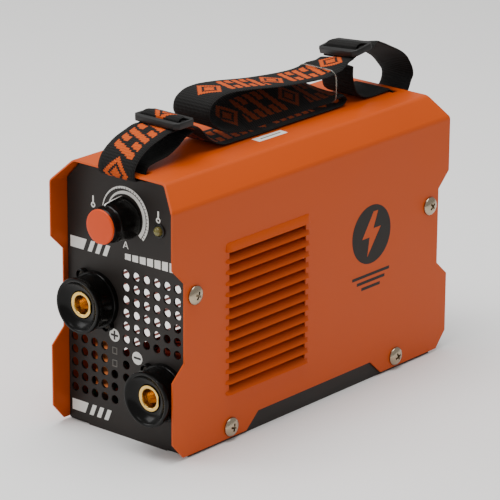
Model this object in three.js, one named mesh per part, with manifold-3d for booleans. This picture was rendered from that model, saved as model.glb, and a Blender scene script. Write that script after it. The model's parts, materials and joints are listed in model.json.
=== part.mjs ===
// Stick welding inverter: a folded sheet cover over a base pan, a perforated front panel with two
// output sockets and a current knob, a rear panel with fan, rocker switch and cable gland, and a
// webbing carrying strap. Millimetres, +Z up. The origin is the middle of the underside and the
// front panel faces -Y.

import * as THREE from 'three';
import { mergeVertices } from 'three/addons/utils/BufferGeometryUtils.js';
import Module from 'manifold-3d';

const wasm = await Module();
wasm.setup();

// ---- driving dimensions ----------------------------------------------------------------------

const SLIP = 0.3; // gap round whatever passes through a hole or sits in a pocket

const COVER = {
  width: 85, length: 228, height: 145, sheet: 1, // height from its own bottom edge to the top face
  bevelX: 11, bevelZ: 11.8, bend: 4, // the bevel between side and top, and its bend radius
  topSetback: 6.8, // how far the top's edge stays behind the ears
  earFootY: 8, earFootZ: 9, earLow: 42.8, waistLow: 51, waistHigh: 94, earHigh: 102.8, waistDepth: 9,
  notchHalf: 47, notchSlope: 9.5, notchRise: 8.5,
};
const PAN = { drop: 1.5, sheet: 1.2, flange: 20, flangeHalf: 88, bossR: 3.5, bossHeight: 12 };
const PANEL = { sheet: 1.2, setback: 12, flange: 14, flangeDrop: 10.4, cornerLift: 1, cornerWidth: 14 };
const LOUVRE = { front: -73, length: 66, bottom: 23.9, pitch: 6, count: 14, slot: 4, proud: 2, wall: 0.7 };
const PERFORATION = { radius: 2.5, pitchX: 7.1, pitchZ: 7.1, sides: 6 };
const SCREW = {
  headR: 5.2, headH: 2.6, shankR: 1.9, length: 7,
  fromPanel: 5, highZ: 86, fromEnd: 45, lowZ: 6, // the high pair stand in the panels' flanges
};
const SLOT = { halfWidth: 14.5, depth: 5, fromEdge: 6.7, notch: 3.2 };
const WEBBING = { width: 25, thickness: 1.4 };
const BUCKLE = { width: 31, bar: 3, window: 3.2, thickness: 3.4, corner: 2.5 };
const KNOB = {
  x: 0, fromTop: 26.2, gap: 0.6, skirtR: 11.9, skirt: 9.6, cone: 2.6, gripR: 9.2, length: 18.4, cap: 1.5,
};
const POT = { bodyR: 8.2, body: 7.5, bushR: 3.5, shaftR: 2.5, nutR: 5.6, nut: 2, bushing: 4 };
const LED = { radius: 2.5, proud: 3.4, bezelR: 3.9, bezel: 1 };
const POWER_LED = { x: -21.5, fromTop: 31 };
const OVERHEAT_LED = { x: 23, fromTop: 28 };
const SOCKET = {
  ringR: 14.8, length: 15, recess: 3.4, rim: 1.9, flangeR: 15.4, flange: 3, lobeR: 3.4, lobeAt: 14.6,
  insertR: 7, boreR: 5, bore: 15, spigotR: 10.4, spigot: 3.8, studR: 4, stud: 10, nutR: 7.4, nut: 5,
};
const POSITIVE = { x: -21, z: 70.1, lobes: 126 };
const NEGATIVE = { x: 26, z: 30.6, lobes: 138 };
const BUSBAR = { width: 12, thickness: 2, foot: 11, rise: 7 };
const BOARD = { thickness: 1.6, sideGap: 4.2, frontGap: 7.8, fanGap: 3.8 };
const FAN = {
  size: 70, depth: 25, ductR: 33, hubR: 15, bladeTip: 32, blades: 7, spider: 2.5, axleR: 2,
  height: 0.345, // where its centre stands, as a share of the cover's height
};
const SWITCH = {
  x: -17, fromTop: 27, width: 24, height: 30, flange: 2, body: 17, wall: 1.6, tilt: 10, depth: 8,
};
const GLAND = {
  x: 20, fromTop: 28, threadR: 7.8, hexR: 11.6, hex: 5, domeR: 9.6, dome: 14, boreR: 4.6, nut: 5, inside: 8,
};

// ---- sizes worked out from them --------------------------------------------------------------

const coverBottom = PAN.drop;
const coverTop = coverBottom + COVER.height;
const halfWidth = COVER.width / 2;
const halfLength = COVER.length / 2;
const innerHalf = halfWidth - COVER.sheet;
const topHalfLength = halfLength - COVER.topSetback;
const panelFace = halfLength - PANEL.setback; // distance of a panel's outer face from the middle
const panelBack = panelFace - PANEL.sheet;
const panelHalf = innerHalf - SLIP;
const panelTop = coverTop - COVER.sheet - SLIP;
const boardBottom = PAN.sheet + PAN.bossHeight;
const boardTop = boardBottom + BOARD.thickness;
const screwHighY = panelFace - SCREW.fromPanel;
const screwLowY = halfLength - SCREW.fromEnd;
const slotY = topHalfLength - SLOT.fromEdge;
const knobZ = coverTop - KNOB.fromTop;
const switchZ = coverTop - SWITCH.fromTop;
const glandZ = coverTop - GLAND.fromTop;
const ledAt = ({ x, fromTop }) => [x, coverTop - fromTop];
const fanZ = coverBottom + FAN.height * COVER.height;
const fanFront = panelBack - FAN.depth;
const boardHalf = panelHalf - BOARD.sideGap;
const boardFront = -panelBack + BOARD.frontGap;
const boardRear = fanFront - BOARD.fanGap;
const alongBoard = (share) => boardFront + share * (boardRear - boardFront);

// Distances measured inwards from the front and rear edges of the cover's top.
const fromFront = (distance) => distance - topHalfLength;
const fromRear = (distance) => topHalfLength - distance;

// The pieces on the board keep their full size until the case leaves them less room than this.
const FULL_ROOM = { length: 165, halfWidth: 37 };
const crowding = Math.min(1, (boardRear - boardFront) / FULL_ROOM.length, boardHalf / FULL_ROOM.halfWidth);
const fitted = (sizes) => Object.fromEntries(
  Object.entries(sizes).map(([name, size]) => [name, size * crowding]));

// ---- making and cutting solids ---------------------------------------------------------------

function solid(geometry) {
  const bare = new THREE.BufferGeometry();
  bare.setAttribute('position', geometry.getAttribute('position').clone());
  if (geometry.index) bare.setIndex(geometry.index.clone());
  const merged = mergeVertices(bare, 1e-4);
  const points = Float32Array.from(merged.getAttribute('position').array);
  const triangles = keptTriangles(merged.index.array);
  const made = new wasm.Manifold(new wasm.Mesh({ numProp: 3, vertProperties: points, triVerts: triangles }));
  if (made.volume() > 0) return made;
  const flipped = triangles.map((_, i) => triangles[i - (i % 3) + (2 - (i % 3))]);
  return new wasm.Manifold(new wasm.Mesh({ numProp: 3, vertProperties: points, triVerts: flipped }));
}

// Triangles whose corners merged into one point are left out.
function keptTriangles(index) {
  const kept = [];
  for (let i = 0; i < index.length; i += 3) {
    const [a, b, c] = [index[i], index[i + 1], index[i + 2]];
    if (a !== b && b !== c && c !== a) kept.push(a, b, c);
  }
  return Uint32Array.from(kept);
}

function geometryOf(made) {
  const mesh = made.getMesh();
  const geometry = new THREE.BufferGeometry();
  geometry.setAttribute('position', new THREE.BufferAttribute(Float32Array.from(mesh.vertProperties), 3));
  geometry.setIndex(new THREE.BufferAttribute(Uint32Array.from(mesh.triVerts), 1));
  geometry.computeVertexNormals();
  return geometry;
}

const join = (...pieces) => pieces.flat().reduce((sum, piece) => sum.add(piece));
const cut = (body, ...tools) => tools.flat().reduce((rest, tool) => rest.subtract(tool), body);

function box([x0, x1], [y0, y1], [z0, z1]) {
  const geometry = new THREE.BoxGeometry(x1 - x0, y1 - y0, z1 - z0);
  return solid(geometry.translate((x0 + x1) / 2, (y0 + y1) / 2, (z0 + z1) / 2));
}

const PLANES = {
  x: new THREE.Matrix4().makeBasis(
    new THREE.Vector3(0, 1, 0), new THREE.Vector3(0, 0, 1), new THREE.Vector3(1, 0, 0)),
  y: new THREE.Matrix4().makeBasis(
    new THREE.Vector3(0, 0, 1), new THREE.Vector3(1, 0, 0), new THREE.Vector3(0, 1, 0)),
  z: new THREE.Matrix4(),
};

// An outline pushed along one axis. Its points are (y, z) along x, (x, z) along y, (x, y) along z.
function prism(axis, outline, [from, to], holes = []) {
  const flat = (points, anticlockwise) => {
    const loop = points.map(([a, b]) => (axis === 'y' ? new THREE.Vector2(b, a) : new THREE.Vector2(a, b)));
    return THREE.ShapeUtils.isClockWise(loop) === anticlockwise ? loop.reverse() : loop;
  };
  const shape = new THREE.Shape(flat(outline, true));
  shape.holes = holes.map((hole) => new THREE.Path(flat(hole, false)));
  const geometry = new THREE.ExtrudeGeometry(shape, { depth: to - from, bevelEnabled: false });
  return solid(geometry.translate(0, 0, from).applyMatrix4(PLANES[axis]));
}

function ngon([cx, cy], radius, sides, turn = 0) {
  return Array.from({ length: sides }, (_, i) => {
    const angle = turn + (i * 2 * Math.PI) / sides;
    return [cx + radius * Math.cos(angle), cy + radius * Math.sin(angle)];
  });
}

const rod = (axis, centre, radius, span, sides = 16) => prism(axis, ngon(centre, radius, sides), span);
const rectangle = (a0, a1, b0, b1) => [[a0, b0], [a1, b0], [a1, b1], [a0, b1]];

// A turned piece about an axis along Y. The profile's points are (radius, y).
function turned([x, z], profile, sides = 24) {
  const geometry = new THREE.LatheGeometry(profile.map(([r, y]) => new THREE.Vector2(r, y)), sides);
  return solid(geometry.translate(x, 0, z));
}

// Rounds the inner corners of an open path with arcs.
function rounded(path, radius, steps = 3) {
  const out = [path[0]];
  for (let i = 1; i < path.length - 1; i += 1) {
    const corner = new THREE.Vector2(...path[i]);
    const back = new THREE.Vector2(...path[i - 1]).sub(corner).normalize();
    const ahead = new THREE.Vector2(...path[i + 1]).sub(corner).normalize();
    const half = Math.acos(THREE.MathUtils.clamp(back.dot(ahead), -1, 1)) / 2;
    const reach = radius / Math.tan(half);
    const start = corner.clone().addScaledVector(back, reach);
    const end = corner.clone().addScaledVector(ahead, reach);
    for (let k = 0; k <= steps; k += 1) {
      const t = k / steps;
      const point = start.clone().multiplyScalar((1 - t) ** 2);
      point.addScaledVector(corner, 2 * t * (1 - t)).addScaledVector(end, t * t);
      out.push([point.x, point.y]);
    }
  }
  out.push(path[path.length - 1]);
  return out;
}

// The closed outline of a sheet of even thickness that follows an open path along its middle.
function band(path, thickness) {
  const sides = [[], []];
  path.forEach((point, i) => {
    const here = new THREE.Vector2(...point);
    const before = here.clone().sub(new THREE.Vector2(...path[Math.max(i - 1, 0)]));
    const after = new THREE.Vector2(...path[Math.min(i + 1, path.length - 1)]).sub(here);
    const first = (before.lengthSq() ? before : after).normalize();
    const second = (after.lengthSq() ? after : first).clone().normalize();
    const normal = new THREE.Vector2(-first.y - second.y, first.x + second.x).normalize();
    const reach = thickness / 2 / Math.abs(normal.dot(new THREE.Vector2(-second.y, second.x)));
    sides[0].push([here.x + normal.x * reach, here.y + normal.y * reach]);
    sides[1].push([here.x - normal.x * reach, here.y - normal.y * reach]);
  });
  return [...sides[0], ...sides[1].reverse()];
}

// Webbing through stations [x, y, z, heading, roll]: degrees about Z, then about its own length.
function webbing(stations, steps) {
  const route = new THREE.CatmullRomCurve3(
    stations.map(([x, y, z]) => new THREE.Vector3(x, y, z)), false, 'centripetal');
  const points = [];
  for (let i = 0; i <= steps; i += 1) {
    const along = (i / steps) * (stations.length - 1);
    const k = Math.min(Math.floor(along), stations.length - 2);
    const [heading, roll] = [3, 4].map((column) => THREE.MathUtils.degToRad(
      THREE.MathUtils.lerp(stations[k][column] ?? 0, stations[k + 1][column] ?? 0, along - k)));
    const across = new THREE.Vector3(
      Math.cos(heading) * Math.cos(roll), Math.sin(heading) * Math.cos(roll), Math.sin(roll));
    const tangent = route.getTangent(i / steps);
    across.addScaledVector(tangent, -across.dot(tangent)).normalize();
    const normal = tangent.clone().cross(across).normalize();
    const middle = route.getPoint(i / steps);
    for (const [a, b] of [[-1, -1], [1, -1], [1, 1], [-1, 1]]) {
      points.push(middle.clone().addScaledVector(across, (a * WEBBING.width) / 2)
        .addScaledVector(normal, (b * WEBBING.thickness) / 2));
    }
  }
  const index = [0, 1, 2, 0, 2, 3];
  for (let i = 0; i < steps; i += 1) {
    for (let k = 0; k < 4; k += 1) {
      const [a, b] = [4 * i + k, 4 * i + ((k + 1) % 4)];
      index.push(a, a + 4, b, b, a + 4, b + 4);
    }
  }
  const last = 4 * steps;
  index.push(last, last + 2, last + 1, last, last + 3, last + 2);
  return solid(new THREE.BufferGeometry().setFromPoints(points).setIndex(index));
}

// ---- the case --------------------------------------------------------------------------------

// The cover's cross-section from one bottom edge over the top to the other, along its mid-sheet.
function coverSection() {
  const inset = COVER.sheet / 2;
  const x = halfWidth - inset;
  const z = coverTop - inset;
  const bevelFoot = coverTop - COVER.bevelZ - inset / 2;
  const bevelHead = halfWidth - COVER.bevelX - inset / 2;
  return rounded(
    [[x, coverBottom], [x, bevelFoot], [bevelHead, z], [-bevelHead, z], [-x, bevelFoot], [-x, coverBottom]],
    COVER.bend);
}

// One end of the cover seen from the side, from the notch in its bottom edge up to the top face.
function coverEnd() {
  const ear = halfLength;
  const waist = halfLength - COVER.waistDepth;
  const outline = [
    [COVER.notchHalf, COVER.notchRise], [COVER.notchHalf + COVER.notchSlope, 0],
    [ear - COVER.earFootY, 0], [ear, COVER.earFootZ], [ear, COVER.earLow],
    [waist, COVER.waistLow], [waist, COVER.waistHigh], [ear, COVER.earHigh],
    [ear, COVER.height - COVER.bevelZ], [topHalfLength, COVER.height],
  ];
  return outline.map(([y, z]) => [y, z + coverBottom]);
}

const louvreZ = (i) => coverBottom + LOUVRE.bottom + i * LOUVRE.pitch;

// A louvre's hood stands proud of the side and is open underneath; side is +1 or -1.
function louvreHood(side, z) {
  const face = halfWidth;
  const outline = [[face - COVER.sheet / 2, z + 0.6], [face + LOUVRE.proud, z + 0.6],
    [face + LOUVRE.proud, z + 1.4], [face, z + LOUVRE.slot + 1],
    [face - COVER.sheet / 2, z + LOUVRE.slot + 1]];
  return prism('y', outline.map(([x, up]) => [side * x, up]), [LOUVRE.front, LOUVRE.front + LOUVRE.length]);
}

function louvreMouth(side, z) {
  const face = halfWidth;
  const lip = face + LOUVRE.proud - LOUVRE.wall;
  const inside = face - 2 * COVER.sheet;
  const outline = [[inside, z], [lip, z], [lip, z + 1.3 - LOUVRE.wall / 2],
    [face - LOUVRE.wall / 2, z + LOUVRE.slot], [inside, z + LOUVRE.slot]];
  return prism('y', outline.map(([x, up]) => [side * x, up]),
    [LOUVRE.front + LOUVRE.wall, LOUVRE.front + LOUVRE.length - LOUVRE.wall]);
}

const strapSlot = (end) => box([-SLOT.halfWidth, SLOT.halfWidth],
  [end * slotY - SLOT.depth / 2, end * slotY + SLOT.depth / 2], [coverTop - 2 * COVER.sheet, coverTop + 1]);

// Where the side screws stand: two high ones into the panels, two low ones into the pan.
const screwPlaces = [-1, 1].flatMap((side) => [
  [side, -screwHighY, SCREW.highZ], [side, screwHighY, SCREW.highZ],
  [side, -screwLowY, SCREW.lowZ], [side, screwLowY, SCREW.lowZ],
]).map(([side, y, z]) => ({ side, y, z: z + coverBottom }));

const screwHole = ({ side, y, z }, margin) => rod('x', [y, z], SCREW.shankR + margin,
  side > 0 ? [innerHalf - 8, halfWidth + 1] : [-halfWidth - 1, 8 - innerHalf], 10);

function coverShell() {
  const sheet = prism('y', band(coverSection(), COVER.sheet), [-halfLength, halfLength]);
  const end = coverEnd();
  const front = end.map(([y, z]) => [-y, z]);
  const outline = prism('x', [...end, ...front.reverse()], [-halfWidth - 1, halfWidth + 1]);
  let shell = sheet.intersect(outline);
  for (const side of [-1, 1]) {
    for (let i = 0; i < LOUVRE.count; i += 1) {
      shell = shell.add(louvreHood(side, louvreZ(i))).subtract(louvreMouth(side, louvreZ(i)));
    }
  }
  return cut(shell, strapSlot(-1), strapSlot(1), screwPlaces.map((place) => screwHole(place, SLIP)));
}

function basePan() {
  const wall = [panelHalf - PAN.sheet, panelHalf];
  const flange = ([x0, x1]) => box([x0, x1], [-PAN.flangeHalf, PAN.flangeHalf], [0, PAN.flange]);
  const floor = box([-panelHalf, panelHalf], [-panelBack, panelBack], [0, PAN.sheet]);
  const bosses = bossPlaces.map((at) => rod('z', at, PAN.bossR, [PAN.sheet / 2, boardBottom], 12));
  const pan = join(floor, flange(wall), flange([-wall[1], -wall[0]]), bosses);
  return cut(pan, screwPlaces.map((place) => screwHole(place, SLIP)));
}

const bossInset = { x: 7, y: 12 };
const bossPlaces = [-1, 1].flatMap((side) => [boardFront + bossInset.y, boardRear - bossInset.y]
  .map((y) => [side * (boardHalf - bossInset.x), y]));

// The outline shared by the front and rear panels: it follows the inside of the cover.
function panelOutline() {
  const bevelFoot = coverTop - COVER.bevelZ - SLIP - COVER.sheet;
  const bevelHead = panelHalf - COVER.bevelX;
  const half = [[panelHalf - PANEL.cornerWidth, 0], [panelHalf - PANEL.cornerWidth + 1, PANEL.cornerLift],
    [panelHalf, PANEL.cornerLift], [panelHalf, bevelFoot], [bevelHead, panelTop],
    [SLOT.halfWidth, panelTop], [SLOT.halfWidth, coverTop - COVER.sheet - SLOT.notch]];
  return [...half, ...half.map(([x, z]) => [-x, z]).reverse()];
}

// A panel blank with its two side flanges, in the position of the front one (end -1) or rear (+1).
function panelBlank(end) {
  const span = (near, far) => [end * near, end * far].sort((a, b) => a - b);
  const face = prism('y', panelOutline(), span(panelBack, panelFace));
  const flange = (side) => box([side * panelHalf, side * (panelHalf - PANEL.sheet)].sort((a, b) => a - b),
    span(panelFace - PANEL.flange, panelFace),
    [coverBottom + COVER.waistLow, coverTop - COVER.bevelZ - PANEL.flangeDrop]);
  const holes = screwPlaces.filter(({ y }) => y * end > screwLowY).map((place) => screwHole(place, SLIP));
  return cut(join(face, flange(-1), flange(1)), holes);
}

const grid = (columns, rows, x0, z0) => Array.from({ length: columns * rows }, (_, i) => [
  x0 + (i % columns) * PERFORATION.pitchX, coverBottom + z0 + Math.floor(i / columns) * PERFORATION.pitchZ]);

const farFrom = ([x, z], radius) => ([holeX, holeZ]) =>
  Math.hypot(holeX - x, holeZ - z) > radius + PERFORATION.radius + 1;

function frontHoles() {
  const lower = grid(5, 6, -37.2, 17.4);
  const upper = grid(6, 6, -0.6, 52.9);
  const between = grid(1, 3, -0.6, 31.6);
  const corner = ([x]) => x < panelHalf - 2 * PERFORATION.radius;
  return [...lower, ...upper, ...between].filter(corner)
    .filter(farFrom([POSITIVE.x, coverBottom + POSITIVE.z], SOCKET.spigotR))
    .filter(farFrom([NEGATIVE.x, coverBottom + NEGATIVE.z], SOCKET.spigotR))
    .filter(([x, z]) => !(x < -8 && z > coverBottom + 50) && !(x > -3 && x < 3 && z > 90));
}

function rearHoles() {
  const reach = Math.floor(FAN.bladeTip / PERFORATION.pitchX);
  const count = 2 * reach + 1;
  return grid(count, count, -reach * PERFORATION.pitchX, fanZ - coverBottom - reach * PERFORATION.pitchZ)
    .filter(([x, z]) => Math.hypot(x, z - fanZ) < FAN.bladeTip - PERFORATION.radius);
}

const panelHole = (end, at, radius, sides = PERFORATION.sides) => rod('y', at, radius,
  end > 0 ? [panelBack - 1, panelFace + 1] : [-panelFace - 1, -panelBack + 1], sides);

function frontPanel() {
  const sockets = [POSITIVE, NEGATIVE];
  const tools = [
    ...frontHoles().map((at) => panelHole(-1, at, PERFORATION.radius)),
    panelHole(-1, [KNOB.x, knobZ], POT.bushR + SLIP, 12),
    panelHole(-1, ledAt(POWER_LED), LED.radius + 3 * SLIP, 12),
    panelHole(-1, ledAt(OVERHEAT_LED), LED.radius + 3 * SLIP, 12),
    ...sockets.map(({ x, z }) => panelHole(-1, [x, z + coverBottom], SOCKET.spigotR + SLIP, 24)),
    ...sockets.flatMap((socket) => lobeCentres(socket).map((at) => panelHole(-1, at, 1.3 + SLIP, 8))),
  ];
  return cut(panelBlank(-1), tools);
}

function rearPanel() {
  const { width, height, flange } = SWITCH;
  const z = switchZ;
  const window = box([SWITCH.x - width / 2 + flange - SLIP, SWITCH.x + width / 2 - flange + SLIP],
    [panelBack - 1, panelFace + 1], [z - height / 2 + flange - SLIP, z + height / 2 - flange + SLIP]);
  const holes = [
    ...rearHoles().map((at) => panelHole(1, at, PERFORATION.radius)),
    panelHole(1, [GLAND.x, glandZ], GLAND.threadR + SLIP, 20),
    ...fanPegs().map((at) => panelHole(1, at, 1.8 + SLIP, 8)),
  ];
  return cut(panelBlank(1), window, holes);
}

// A pan-head screw driven through the side, built about Y with its head's seat at y = 0.
function coverScrew() {
  const [r, h] = [SCREW.headR, SCREW.headH];
  return turned([0, 0], [[0, -SCREW.length], [SCREW.shankR, -SCREW.length], [SCREW.shankR, 0], [r, 0],
    [r, h * 0.4], [r * 0.6, h * 0.9], [0, h]], 12);
}

// ---- the controls ----------------------------------------------------------------------------

function knobBody() {
  const rear = -panelFace - KNOB.gap;
  const skirtFront = rear - KNOB.skirt;
  const gripFront = -panelFace - KNOB.length;
  return turned([KNOB.x, knobZ], [
    [0, gripFront + 4], [POT.shaftR + SLIP, gripFront + 4], [POT.shaftR + SLIP, rear - 4.4],
    [POT.nutR + 1.6, rear - 4.4], [POT.nutR + 1.6, rear], [KNOB.skirtR, rear], [KNOB.skirtR, skirtFront],
    [KNOB.gripR + 0.3, skirtFront - KNOB.cone], [KNOB.gripR, gripFront], [KNOB.gripR - 1.4, gripFront],
    [KNOB.gripR - 1.4, gripFront + 1.3], [0, gripFront + 1.3],
  ], 24);
}

function knobCap() {
  const seat = -panelFace - KNOB.length;
  return turned([KNOB.x, knobZ], [
    [0, seat + 1], [KNOB.gripR - 1.4 - SLIP, seat + 1], [KNOB.gripR - 1.4 - SLIP, seat],
    [KNOB.gripR, seat], [KNOB.gripR, seat - KNOB.cap + 0.4], [KNOB.gripR - 0.4, seat - KNOB.cap],
    [0, seat - KNOB.cap],
  ], 24);
}

function potentiometer() {
  const rear = -panelBack + POT.body;
  const tip = -panelFace - POT.bushing;
  return turned([KNOB.x, knobZ], [
    [0, rear], [POT.bodyR, rear], [POT.bodyR, -panelBack], [POT.bushR, -panelBack], [POT.bushR, tip],
    [POT.shaftR + SLIP, tip], [POT.shaftR + SLIP, rear - 2], [0, rear - 2],
  ], 20);
}

function potentiometerShaft() {
  const inner = -panelBack + POT.body - 2 - SLIP;
  return rod('y', [KNOB.x, knobZ], POT.shaftR, [-panelFace - KNOB.length + 4 + SLIP, inner], 16);
}

function hexNut([x, z], radius, hole, span) {
  return prism('y', ngon([x, z], radius, 6, Math.PI / 6), span, [ngon([x, z], hole, 14)]);
}

const potentiometerNut = () => hexNut([KNOB.x, knobZ], POT.nutR, POT.bushR + SLIP,
  [-panelFace - POT.nut, -panelFace]);

function ledBezel(x, z) {
  const inner = LED.radius + SLIP;
  return turned([x, z], [[inner, -panelFace - LED.bezel], [LED.bezelR - 0.4, -panelFace - LED.bezel],
    [LED.bezelR, -panelFace], [inner, -panelFace], [inner, -panelFace - LED.bezel]], 16);
}

// A lamp: a domed lens with a collar behind the panel and two legs back to the control board.
function ledLamp(x, z) {
  const tip = -panelFace - LED.proud;
  const collar = -panelBack + SLIP;
  const boardFace = -panelBack + POT.body;
  const lens = turned([x, z], [[0, collar + 1], [LED.radius + 1.2, collar + 1], [LED.radius + 1.2, collar],
    [LED.radius, collar], [LED.radius, tip + 2], [LED.radius * 0.8, tip + 0.8], [LED.radius * 0.4, tip + 0.1],
    [0, tip]], 12);
  const leg = (at) => box([at - 0.3, at + 0.3], [collar + 0.5, boardFace], [z - 0.3, z + 0.3]);
  return join(lens, leg(x - 1.27), leg(x + 1.27));
}

// ---- the output sockets ----------------------------------------------------------------------

function lobeCentres({ x, z, lobes }) {
  return [lobes, lobes + 180].map(THREE.MathUtils.degToRad).map((angle) => [
    x + SOCKET.lobeAt * Math.cos(angle), z + coverBottom + SOCKET.lobeAt * Math.sin(angle)]);
}

function socketBody(place) {
  const at = [place.x, place.z + coverBottom];
  const front = -panelFace - SOCKET.length;
  const inner = SOCKET.insertR + SLIP;
  const barrel = turned(at, [
    [inner, front + SOCKET.recess], [inner + 1, front + SOCKET.recess],
    [SOCKET.ringR - SOCKET.rim, front + 1], [SOCKET.ringR - SOCKET.rim, front], [SOCKET.ringR, front],
    [SOCKET.ringR, front + 3], [SOCKET.ringR - 0.5, front + 3.4], [SOCKET.ringR - 0.5, -panelFace],
    [SOCKET.spigotR, -panelFace], [SOCKET.spigotR, -panelBack + SOCKET.spigot],
    [inner, -panelBack + SOCKET.spigot], [inner, front + SOCKET.recess],
  ], 20);
  const flange = prism('y', ngon(at, SOCKET.flangeR, 20), [-panelFace - SOCKET.flange, -panelFace],
    [ngon(at, SOCKET.ringR - 1, 20)]);
  const lobes = lobeCentres(place).map((lobe) => rod('y', lobe, SOCKET.lobeR,
    [-panelFace - SOCKET.flange, -panelFace], 12));
  const bore = rod('y', at, inner + 0.2, [front - 1, 0], 20);
  const screws = lobeCentres(place).map((lobe) => rod('y', lobe, 1.3 + SLIP,
    [-panelFace - 8, -panelFace + 1], 8));
  const headRoom = lobeCentres(place).map((lobe) => rod('y', lobe, 2.4 + SLIP,
    [front + 4, -panelFace - SOCKET.flange + 1.6], 8));
  return cut(join(barrel, flange, lobes), bore, screws, headRoom);
}

function socketInsert({ x, z }) {
  const front = -panelFace - SOCKET.length + SOCKET.recess - 0.4;
  const shoulder = -panelBack + SOCKET.spigot;
  return turned([x, z + coverBottom], [
    [0, front + SOCKET.bore], [SOCKET.boreR, front + SOCKET.bore], [SOCKET.boreR, front + 0.5],
    [SOCKET.boreR + 0.5, front], [SOCKET.insertR, front], [SOCKET.insertR, shoulder],
    [SOCKET.studR, shoulder], [SOCKET.studR, shoulder + SOCKET.stud], [0, shoulder + SOCKET.stud],
  ], 20);
}

const socketNut = ({ x, z }) => hexNut([x, z + coverBottom], SOCKET.nutR, SOCKET.studR + SLIP, [
  -panelBack + SOCKET.spigot + BUSBAR.thickness, -panelBack + SOCKET.spigot + BUSBAR.thickness + SOCKET.nut]);

function flangeScrew([x, z]) {
  const seat = -panelFace - SOCKET.flange + 1.6;
  return turned([x, z], [[0, seat - 1.6], [1.4, seat - 1.6], [2.4, seat - 0.9], [2.4, seat], [1.3, seat],
    [1.3, -panelBack + 3], [0, -panelBack + 3]], 8);
}

// A copper strap from a socket's stud down to the main board.
function busbar({ x, z }) {
  const y = -panelBack + SOCKET.spigot + BUSBAR.thickness / 2;
  const footZ = boardTop + BUSBAR.thickness / 2;
  const path = [[y, z + coverBottom + BUSBAR.rise], [y, footZ], [y + BUSBAR.foot, footZ]];
  const bar = prism('x', band(path, BUSBAR.thickness), [x - BUSBAR.width / 2, x + BUSBAR.width / 2]);
  return cut(bar, rod('y', [x, z + coverBottom], SOCKET.studR + SLIP, [y - 5, y + 5], 14));
}

// ---- the works inside ------------------------------------------------------------------------

function controlBoard() {
  const y = -panelBack + POT.body;
  return box([-boardHalf + 3, boardHalf - 3], [y, y + BOARD.thickness], [knobZ - 16, knobZ + 17]);
}

function mainBoard() {
  return box([-boardHalf, boardHalf], [boardFront, boardRear], [boardBottom, boardTop]);
}

const TRANSFORMER = {
  x: 0.62 * boardHalf, y: alongBoard(0.327),
  ...fitted({ width: 46, depth: 16, height: 43, leg: 12, window: 12, yoke: 6, bulge: 9 }),
};

function transformerCore() {
  const { x, y, width, depth, height, leg, window, yoke } = TRANSFORMER;
  const block = box([x - depth / 2, x + depth / 2], [y - width / 2, y + width / 2],
    [boardTop, boardTop + height]);
  const windows = [-1, 1].map((side) => box([x - depth, x + depth],
    [y + side * leg / 2, y + side * (leg / 2 + window)].sort((a, b) => a - b),
    [boardTop + yoke, boardTop + height - yoke]));
  return cut(block, windows);
}

function transformerWinding() {
  const { x, y, depth, height, leg, window, yoke, bulge } = TRANSFORMER;
  const [outX, outY] = [depth / 2 + bulge, leg / 2 + window - SLIP];
  const [inX, inY] = [depth / 2 + SLIP, leg / 2 + SLIP];
  const bevel = 4;
  const outline = [[x - outX + bevel, y - outY], [x + outX - bevel, y - outY], [x + outX, y - outY + bevel],
    [x + outX, y + outY - bevel], [x + outX - bevel, y + outY], [x - outX + bevel, y + outY],
    [x - outX, y + outY - bevel], [x - outX, y - outY + bevel]];
  return prism('z', outline, [boardTop + yoke + SLIP, boardTop + height - yoke - SLIP],
    [rectangle(x - inX, x + inX, y - inY, y + inY)]);
}

const CHOKE = {
  x: -0.59 * boardHalf, y: alongBoard(0.345), ...fitted({ outerR: 13, innerR: 6, height: 11 }),
};

function outputChoke() {
  const { x, y, outerR, innerR, height } = CHOKE;
  const [low, high, edge] = [boardTop, boardTop + height, 2];
  const profile = [[innerR, low + edge], [innerR + edge, low], [outerR - edge, low], [outerR, low + edge],
    [outerR, high - edge], [outerR - edge, high], [innerR + edge, high], [innerR, high - edge],
    [innerR, low + edge]];
  const geometry = new THREE.LatheGeometry(profile.map(([r, z]) => new THREE.Vector2(r, z)), 20);
  return solid(geometry.rotateX(Math.PI / 2).translate(x, y, 0));
}

const HEATSINK = {
  inner: 7, plate: 4, reach: boardHalf - 1, fins: 8, fin: 1.6,
  front: alongBoard(0.65), rear: alongBoard(0.964),
  height: 0.48 * COVER.height,
};

function heatsink(side) {
  const { inner, plate, reach, front, rear, height, fins, fin } = HEATSINK;
  const across = (a, b) => [side * a, side * b].sort((p, q) => p - q);
  const pitch = (height - fin) / (fins - 1);
  const blades = Array.from({ length: fins }, (_, i) => box(across(inner + plate / 2, reach), [front, rear],
    [boardTop + i * pitch, boardTop + i * pitch + fin]));
  return join(box(across(inner, inner + plate), [front, rear], [boardTop, boardTop + height]), blades);
}

// A flat power package bolted to the inner face of a heatsink, with three legs down to the board.
function powerPackage(side, y) {
  const across = (a, b) => [side * a, side * b].sort((p, q) => p - q);
  const { width, foot, top } = fitted({ width: 16, foot: 14, top: 35 });
  const [thick, legPitch, legHalf] = [5, width / 3, 0.6];
  const body = box(across(HEATSINK.inner - thick, HEATSINK.inner), [y - width / 2, y + width / 2],
    [boardTop + foot, boardTop + top]);
  const legs = [-1, 0, 1].map((k) => box(across(HEATSINK.inner - 3, HEATSINK.inner - 2),
    [y + k * legPitch - legHalf, y + k * legPitch + legHalf], [boardTop, boardTop + foot + 1]));
  return join(body, legs);
}

const CAPACITOR = {
  x: [-0.66 * boardHalf, 0.05 * boardHalf], y: alongBoard(0.5636), ...fitted({ radius: 12.3, height: 40 }),
};

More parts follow.
